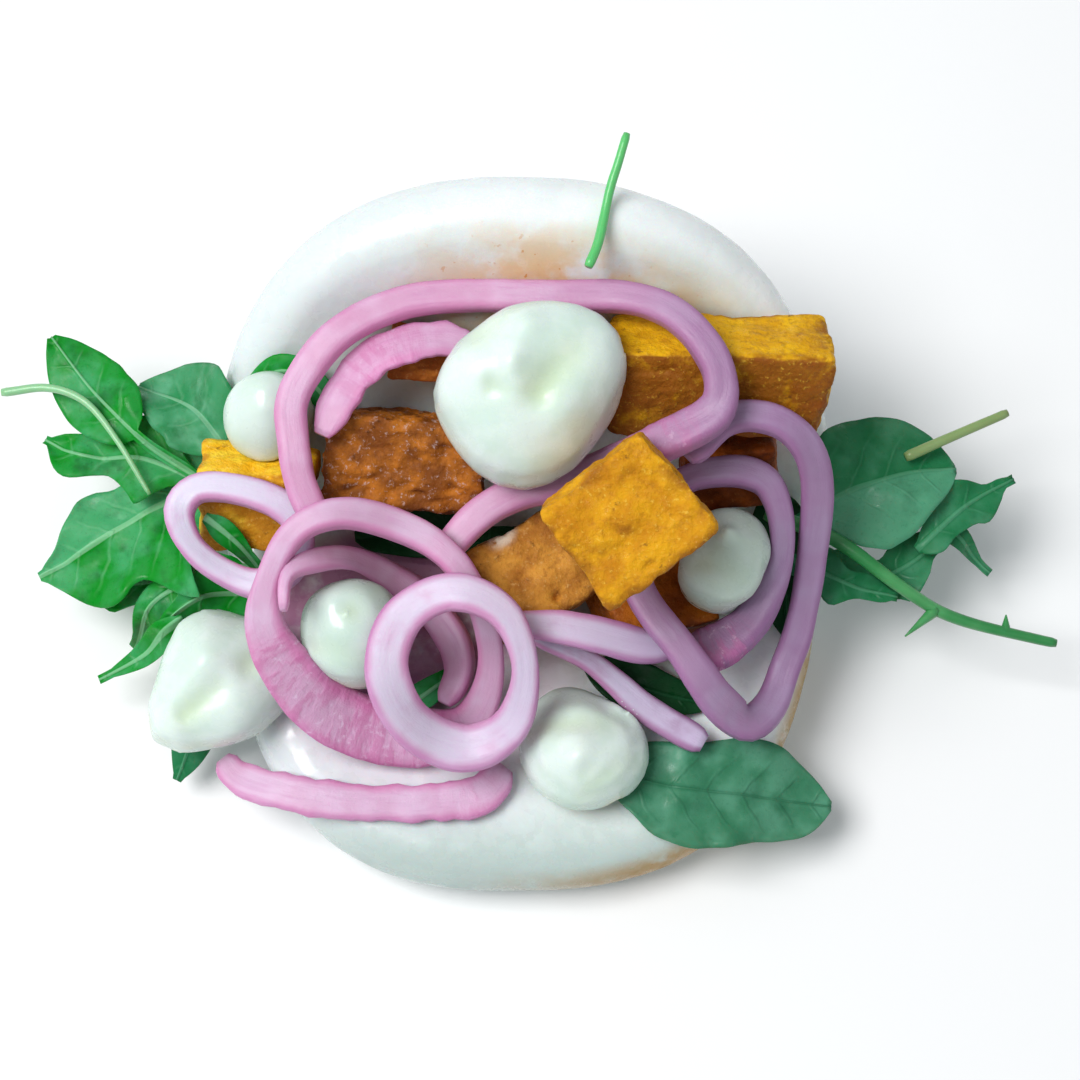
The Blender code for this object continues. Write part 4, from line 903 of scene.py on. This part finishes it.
# Painted shade over whole dollops
cream.over(CREAM_JUICY, cream.marked("dull"))
cream.rough(cream.between(cream.grain(3), 0.1, 0.8, 0.5))
cream.relief((cream.grain(1.6, 2), 0.05))

for node, (bumps, folds) in CREAM_DOLLOPS.items():
    serve(pipe_dollop(node, bumps, folds), cream, "cream", node)

# Salad leaves
# Young rocket and chard leaves, tucked in by hand from both sides. Each has a pale rib down
# its middle, side veins that pucker the blade, and a wavy, lobed edge.
LEAF_THICKNESS = 0.4 * MM
LEAF_LENGTH_STEP = 0.8 * MM
LEAF_SIDE_CELLS = 12
LEAF_RIB_CROWDING = 1.6
LEAF_VEIN_GAP = 5.4
LEAF_VEIN_LEAN = 0.85
LEAF_PUCKER = 0.2
# Waves of a blade as their height and length, in millimetres: at its edge and all over
LEAF_EDGE_WAVE = (0.3, 4.5)
LEAF_SWAY = (1.0, 6.5)
LEAF_OPEN_SWAY = 2.0
LEAF_CLOSED_SWAY = 0.3
LEAF_LEAST_HALF = 0.7
LEAF_BELOW_TOP = 0.35
LEAF_EVENING = 4
# How ragged a margin is, as a share of the half width, and over how many millimetres
LEAF_RAGGED = (0.05, 3.6)
# The rib's half width where it leaves the stem, how much of it is gone at the tip, its height
LEAF_RIB = 0.55
LEAF_RIB_TAPER = 0.6
LEAF_RIB_HEIGHT = 0.32
LEAF_RIBS = {"leaf_left_big": 0.85, "leaf_left_low": 0.8, "leaf_left_top": 0.4, "leaf_front": 0.4}
# How much wider a leaf is on one side of its rib than on the other
LEAF_LEANS = {"leaf_left_big": -0.3}
# How deep the bays in a leaf's margin are, as a share of its half width
LEAF_BAYS = {"leaf_left_curl": 0.14, "leaf_left_low": 0.2, "leaf_left_big": 0.06,
             "leaf_left_small": 0.2, "leaf_left_back": 0.08, "leaf_right_low": 0.25,
             "leaf_right_side": 0.3, "leaf_right_under": 0.2}
# Outlines of a blade, as the power of the length that sets where it is widest, and its fullness
LEAF_OUTLINES = {"round": (0.8, 0.6), "blade": (0.7, 0.9), "lobed": (0.75, 0.75)}
NO_LOBES = (0, 0, 0)
# A leaf is its rib as x and y points, its width, its outline, its lobes as how many there are,
# how deep they are and how far they are shifted, the bare share of its rib, the phase of its
# lobes and its finish
LEAVES = {
    "leaf_left_low": ([(-39, -3), (-50, -3.5), (-60, -5), (-70, -4)],
                      11, "lobed", (2, 0.35, 0.2), 0.15, 0.0, "bright"),
    "leaf_left_drop": ([(-50, -5), (-57, -9), (-61, -14)], 6, "blade", NO_LOBES, 0.0, 0.0, "bright"),
    "leaf_left_small": ([(-40, -7), (-48, -8), (-56, -13)], 7, "lobed", (2, 0.3, 0.3), 0.0, 0.0, "bright"),
    "leaf_left_big": ([(-40, 3), (-46, 6.5), (-53, 7), (-60, 4), (-68, -0.5), (-75, -4)],
                      23, "lobed", (2.5, 0.2, 0.3), 0.15, 0.8, "bright"),
    "leaf_left_curl": ([(-50, 9), (-58, 12), (-68, 13), (-74, 16)],
                       11, "lobed", (2, 0.4, 0.5), 0.0, 2.0, "bright"),
    "leaf_left_back": ([(-41, 5), (-46, 13), (-52, 20), (-60, 24)],
                       14, "round", NO_LOBES, 0.35, 0.0, "pale"),
    "leaf_left_top": ([(-50, 9), (-58, 14), (-66, 22), (-73, 31)],
                      12, "round", NO_LOBES, 0.35, 0.0, "bright"),
    "leaf_left_spike": ([(-52, -12), (-59, -16), (-66, -19)], 4, "blade", NO_LOBES, 0.0, 0.0, "bright"),
    "leaf_front_left": ([(-44, -21), (-50, -26), (-54, -34)], 7.5, "round", NO_LOBES, 0.0, 0.0, "deep"),
    "leaf_in_ring": ([(-21, -26), (-14, -21), (-9, -17)], 4.5, "blade", NO_LOBES, 0.0, 0.0, "bright"),
    "leaf_dark_middle": ([(36, 8), (38, 0), (38.5, -14)], 11, "lobed", NO_LOBES, 0.0, 0.0, "shaded"),
    "leaf_right_low": ([(41, -3), (50, -5), (58, -2), (65, 5)], 9, "lobed", (2, 0.3, 0.3), 0.0, 0.0, "deep"),
    "leaf_right_under": ([(38, -2), (47, -6), (55, -8)], 7, "lobed", (2, 0.3, 0.2), 0.0, 0.0, "deep"),
    "leaf_right_spike": ([(58, 6), (65, 1), (70, -3)], 4, "blade", NO_LOBES, 0.0, 0.0, "deep"),
    "leaf_right_side": ([(58, -1), (66, 6), (73, 10)], 8, "lobed", (1.5, 0.3, 0.2), 0.0, 0.0, "deep"),
    "leaf_right_round": ([(39, 3), (47, 7), (56, 10), (64, 11)], 21, "round", NO_LOBES, 0.15, 0.0, "deep"),
    "leaf_front_dark": ([(8, -18), (18, -22), (28, -24)], 8, "lobed", NO_LOBES, 0.0, 0.0, "shaded"),
    "leaf_front": ([(11, -34), (21, -36.5), (33, -37.5), (45, -38.5)],
                   16.5, "blunt", (1.5, 0.12, 0.4), 0.0, 2.5, "dusky"),
    "leaf_back_left": ([(-43, 18), (-37, 21), (-31, 19), (-28, 13)],
                       5, "lobed", NO_LOBES, 0.0, 0.0, "bright"),
    "leaf_dark_back": ([(-27, 2), (-17, 3), (-8, 1), (-2, 3)], 9, "round", NO_LOBES, 0.0, 0.0, "shaded"),
    "leaf_in_left_ring": ([(-47.5, 0), (-44, -2.4), (-40, -5.5)],
                          3.6, "blade", NO_LOBES, 0.0, 0.0, "bright"),
}
# The leaves that lie open, and so sway the most
OPEN_LEAVES = ("leaf_left_big", "leaf_left_curl", "leaf_left_low", "leaf_left_back", "leaf_right_round",
               "leaf_right_side", "leaf_front", "leaf_left_small")
# The leaves with one half paler than the other
TWO_TONED = ("leaf_right_round", "leaf_left_big")
# Colours of a blade: its usual green, its pale patches, mostly painted highlight, its dark ones,
# mostly painted shade, and its ribs, and how much its patches and its ribs show
LEAF_GREENS = {
    "bright": ("#04881E", "#4CA872", "#013E0E", "#8CCB9C", 0.6, 0.65),
    "pale": ("#2A8650", "#66AC86", "#086426", "#84BE98", 0.8, 0.65),
    # The deep greens, mostly of the leaves on the right, are darker and bluer, partly painted shade
    "deep": ("#1A7042", "#549A78", "#0A4C2A", "#62A480", 0.4, 0.4),
    "dusky": ("#347856", "#64A286", "#246044", "#2A6648", 0.5, 0.4),
    "shaded": ("#0A3C1A", "#164E2A", "#041E0A", "#225838", 0.6, 0.4),
}


def leaf_width(kind, t):
    """Half width along a leaf, as a share of its widest."""
    if kind == "blunt":
        return (1 - abs(2 * t - 1) ** 3) ** 0.7
    length_power, fullness = LEAF_OUTLINES[kind]
    return max(math.sin(math.pi * t ** length_power), 0) ** fullness


def grow_leaf(node, rib, width, kind, lobes, bare, phase, seed):
    """A thin blade over the top of its solid, with a rib, veins and puckers."""
    points = smooth_path(rib, False, LEAF_LENGTH_STEP)
    way = directions(points, False)
    solid = solid_of(node)
    rows = len(points)
    sides = range(-LEAF_SIDE_CELLS, LEAF_SIDE_CELLS + 1)
    columns = len(sides)
    plan = np.zeros((rows, columns, 2))
    across_mm = np.zeros((rows, columns))
    share = np.zeros((rows, columns))
    blades = np.zeros(rows)
    many, deep, shift = lobes
    bays, lean = LEAF_BAYS.get(node, 0.0), LEAF_LEANS.get(node, 0.0)
    ragged_share, ragged_length = LEAF_RAGGED
    for i in range(rows):
        t = i / (rows - 1)
        blades[i] = leaf_width(kind, max(t - bare, 0) / (1 - bare))
        for j, side in enumerate(sides):
            v = math.copysign((abs(side) / LEAF_SIDE_CELLS) ** LEAF_RIB_CROWDING, side)
            lobe = 1 + deep * math.cos(2 * math.pi * many * (t + shift * (v > 0)) + phase) * abs(v)
            travelled = t * rows * LEAF_LENGTH_STEP / MM
            margin_place = Vector((travelled / ragged_length, seed + (v > 0) * 9, 0))
            ragged = 1 - ragged_share * abs(v) * (1 + noise.noise(margin_place))
            ragged -= bays * abs(v) * float(between(noise.noise(margin_place * 0.75), -0.1, 0.45))
            ragged *= 1 + math.copysign(lean, v)
            half = max(width / 2 * blades[i] * lobe * ragged, LEAF_LEAST_HALF) * MM
            plan[i, j] = points[i, :2] + np.array((-way[i][1], way[i][0])) * v * half
            across_mm[i, j] = v * half / MM
            share[i, j] = v
    heights = np.full((rows, columns), np.nan)
    middle = LEAF_SIDE_CELLS
    for i in range(rows):
        for j in sorted(range(columns), key=lambda k: abs(k - middle)):
            found = felt(solid, *plan[i, j])
            if found:
                heights[i, j] = found[1]
            elif j != middle:
                heights[i, j] = heights[i, j - int(math.copysign(1, j - middle))]
    for j in range(columns):
        known = np.flatnonzero(~np.isnan(heights[:, j]))
        heights[:, j] = np.interp(range(rows), known, heights[known, j])
    for _ in range(LEAF_EVENING):
        beside = np.pad(heights, 1, mode="edge")
        heights = (2 * heights + beside[:-2, 1:-1] + beside[2:, 1:-1]
                   + beside[1:-1, :-2] + beside[1:-1, 2:]) / 6
    along_mm = np.arange(rows)[:, None] * LEAF_LENGTH_STEP / MM
    vein_place = (along_mm - LEAF_VEIN_LEAN * np.abs(across_mm)) / LEAF_VEIN_GAP
    open_blade = blades[:, None] * (1 - np.abs(share) ** 4) * between(np.abs(across_mm), 0.3, 1.5)
    pucker = LEAF_PUCKER * (np.sin(np.pi * vein_place) ** 2 - 0.5) * open_blade
    rib_half = LEAF_RIBS.get(node, LEAF_RIB) * (1 - LEAF_RIB_TAPER * np.linspace(0, 1, rows))[:, None]
    rib_ridge = np.clip(1 - (across_mm / rib_half) ** 2, 0, 1) * LEAF_RIB_HEIGHT
    wave = np.zeros((rows, columns))
    edge_height, edge_length = LEAF_EDGE_WAVE
    sway_height, sway_length = LEAF_SWAY
    sway_height *= LEAF_OPEN_SWAY if node in OPEN_LEAVES else LEAF_CLOSED_SWAY
    for i in range(rows):
        for j in range(columns):
            spot = (*plan[i, j], 0)
            wave[i, j] = edge_height * abs(share[i, j]) ** 2 * bump_of(spot, edge_length, seed) * blades[i]
            rise = max(bump_of(spot, sway_length, seed + 3), 0)
            wave[i, j] += sway_height * rise * min(blades[i] * 2, 1)
    top = heights + (pucker + wave + rib_ridge - LEAF_BELOW_TOP) * MM
    under = top - LEAF_THICKNESS * (1 - 0.55 * np.abs(share) ** 3)
    spots = [(*plan[i, j], top[i, j]) for i in range(rows) for j in range(columns)]
    spots += [(*plan[i, j], under[i, j]) for i in range(rows) for j in range(columns)]
    below = rows * columns
    faces = []
    for i in range(rows - 1):
        for j in range(columns - 1):
            a, b = i * columns + j, (i + 1) * columns + j
            faces.append((a, b, b + 1, a + 1))
            faces.append((below + a, below + a + 1, below + b + 1, below + b))
    border = [(i, 0) for i in range(rows)] + [(rows - 1, j) for j in range(1, columns)]
    border += [(i, columns - 1) for i in range(rows - 2, -1, -1)]
    border += [(0, j) for j in range(columns - 2, 0, -1)]
    for (i, j), (k, m) in zip(border, border[1:] + border[:1]):
        a, b = i * columns + j, k * columns + m
        faces.append((a, below + a, below + b, b))
    mesh = mesh_of(node + "_blade", spots, faces)
    near_rib = np.clip(1 - np.abs(across_mm) / np.maximum(rib_half, 0.2), -1, 1)
    mark(mesh, "rib", np.tile(near_rib.ravel(), 2))
    vein = np.stack([vein_place, across_mm / LEAF_VEIN_GAP, np.full_like(vein_place, seed)], axis=2)
    lay_out(mesh, "vein", np.concatenate([vein, vein]))
    mark(mesh, "margin", np.tile(np.abs(share).ravel(), 2))
    mark(mesh, "pale_side", np.tile(between(-share, -0.02, 0.06).ravel() * (node in TWO_TONED), 2))
    return bpy.data.objects.new(node + "_blade", mesh)


def leaf_finish(name, usual, pale_patch, dark_patch, rib_colour, patchy, ribbed):
    green = Finish("leaf_" + name, 0.5, {"Subsurface Weight": 0.08, "Subsurface Scale": 0.0015,
                                         "Specular IOR Level": 0.16})
    wander = green.times(green.grain(5, 2), 0.5)
    along_rib = green.sum_of("ADD", green.along("X", green.laid("vein")), wander)
    to_vein = green.sum_of("PINGPONG", along_rib, 0.5)
    # Painted highlight in the middle of each stretch between the side veins
    panel = green.times(green.between(to_vein, 0.08, 0.4), green.between(green.marked("rib"), 0.0, -0.8))
    # Painted highlight in pale blotches
    green.colour(green.mix(usual, pale_patch, green.between(green.grain(7, 3), 0.42, 0.66, patchy)))
    green.over(pale_patch, panel, patchy * 0.25)
    green.over(pale_patch, green.marked("pale_side"), 0.8)
    # Painted shade in dark blotches, then fine dark specks
    green.over(dark_patch, green.between(green.grain(4.5, 4), 0.5, 0.75, patchy * 0.9))
    green.over(dark_patch, green.between(green.grain(0.6, 3, 0.7), 0.55, 0.75, 0.3))
    vein_line = green.between(to_vein, 0.09, 0.0)
    vein_line = green.times(vein_line, green.between(green.marked("margin"), 0.9, 0.35))
    green.over(rib_colour, vein_line, 0.16)
    green.over(rib_colour, green.between(green.marked("rib"), 0.0, 0.35, ribbed))
    green.rough(green.between(green.grain(2), 0.1, 0.7, 0.6))
    green.relief((vein_line, 0.08), (green.grain(0.7, 3), 0.05))
    return green


leaf_greens = {name: leaf_finish(name, *greens) for name, greens in LEAF_GREENS.items()}
for seed, (node, (rib, width, kind, lobes, bare, phase, green)) in enumerate(LEAVES.items()):
    blade = grow_leaf(node, rib, width, kind, lobes, bare, phase, seed)
    serve(blade, leaf_greens[green], "leaf", node)

# Stalks
# Thin green stalks of the same salad, round, a little wider at a joint, with the stubs of
# leaves that were picked off. They lie on the leaves, and one stands up behind the cream.
STALK_STEP = 0.8 * MM
STALK_SIDES = 14
# A stalk is its points in plan, its width and the share of it that is left at its end
STALKS = {
    "stalk_left": ([(-80, 22), (-73, 22.5), (-67, 20), (-62, 14), (-57, 6)], 1.5, 0.5),
    "stalk_right": ([(35, 4), (45, 0), (55, -7), (64, -11.5), (79, -14.6)], 2.6, 0.62),
    "stalk_right_thin": ([(56, 12), (63, 15), (71.5, 18.7)], 1.8, 0.8),
    "stalk_back": ([(8, 31), (9.5, 35), (11, 42), (12.3, 46), (13.5, 50)], 1.6, 0.8),
}
# Stubs on the right stalk: where along it they grow, their direction in plan, their length
# and their thickness
STALK_STUBS = ((0.62, (-0.75, -0.66), 6.5, 1.0), (0.85, (0.05, 1.0), 2.6, 0.9))
STUB_STEPS = 6
STUB_RISE = 0.12
STUB_TAPER = 0.88
STALK_END = 0.8
# The stalks in two tones and their patches, then the pale, the bright and the olive one
STALK_GREENS = ("#22803E", "#4E9E5E")
STALK_PATCH = "#2A8444"
STALK_PALE = "#8CC490"
STALK_BRIGHT = "#5AC06C"
STALK_OLIVE = "#8E9C62"


def tube(line, radii, start=0):
    """Points and faces of a round tube along a line, counted on from start."""
    spots = []
    for i, (point, radius) in enumerate(zip(line, radii)):
        ahead = Vector(line[min(i + 1, len(line) - 1)]) - Vector(line[max(i - 1, 0)])
        side = ahead.cross(Vector((0, 0, 1))).normalized()
        up = side.cross(ahead).normalized()
        for k in range(STALK_SIDES):
            angle = 2 * math.pi * k / STALK_SIDES
            spots.append(Vector(point) + (side * math.cos(angle) + up * math.sin(angle)) * radius)
    return spots, skin_over(len(line), STALK_SIDES, start=start)


def lay_stalk(node, path, width, left):
    points = smooth_path(path, False, STALK_STEP)
    count = len(points)
    radii = width * MM / 2 * np.linspace(1, left, count)
    heights = middle_heights(node, points, False, 6)
    radii = np.array([r * (0.94 + 0.06 * bump_of((*p[:2], 0), 5, 2)) for r, p in zip(radii, points)])
    radii[[0, -1]] *= STALK_END
    line = [(p[0], p[1], z) for p, z in zip(points, heights)]
    spots, faces = tube(line, radii)
    if node == "stalk_right":
        for share, (way_x, way_y), length, thick in STALK_STUBS:
            root = Vector(line[int(share * (count - 1))])
            reach = [root + Vector((way_x * s, way_y * s, STUB_RISE * s)) * MM
                     for s in np.linspace(0, length, STUB_STEPS + 1)]
            thinning = [thick * MM * (1 - STUB_TAPER * k / STUB_STEPS) for k in range(STUB_STEPS + 1)]
            more_spots, more_faces = tube(reach, thinning, len(spots))
            spots += more_spots
            faces += more_faces
    return bpy.data.objects.new(node + "_stem", mesh_of(node + "_stem", spots, faces))


stem = Finish("green_stalk", 0.35, {"Subsurface Weight": 0.2, "Subsurface Scale": 0.002, "Coat Weight": 0.25,
                                    "Coat Roughness": 0.25})
stem.colour(stem.mix(*STALK_GREENS, stem.between(stem.grain(9, 2), 0.35, 0.7)))
stem.over(STALK_PATCH, stem.between(stem.grain(2.2, 3), 0.5, 0.8, 0.4))
stem.over(STALK_PALE, stem.between(stem.along("X"), -0.05, -0.062))
stem.over(STALK_BRIGHT, stem.between(stem.along("Y"), 0.028, 0.031))
olive = stem.times(stem.between(stem.along("Y"), 0.010, 0.0115),
                   stem.between(stem.along("X"), 0.05, 0.054))
stem.over(STALK_OLIVE, olive, 0.75)
stem.relief((stem.grain(0.8, 3), 0.08))

for node, (path, width, left) in STALKS.items():
    serve(lay_stalk(node, path, width, left), stem, "stalk", node)
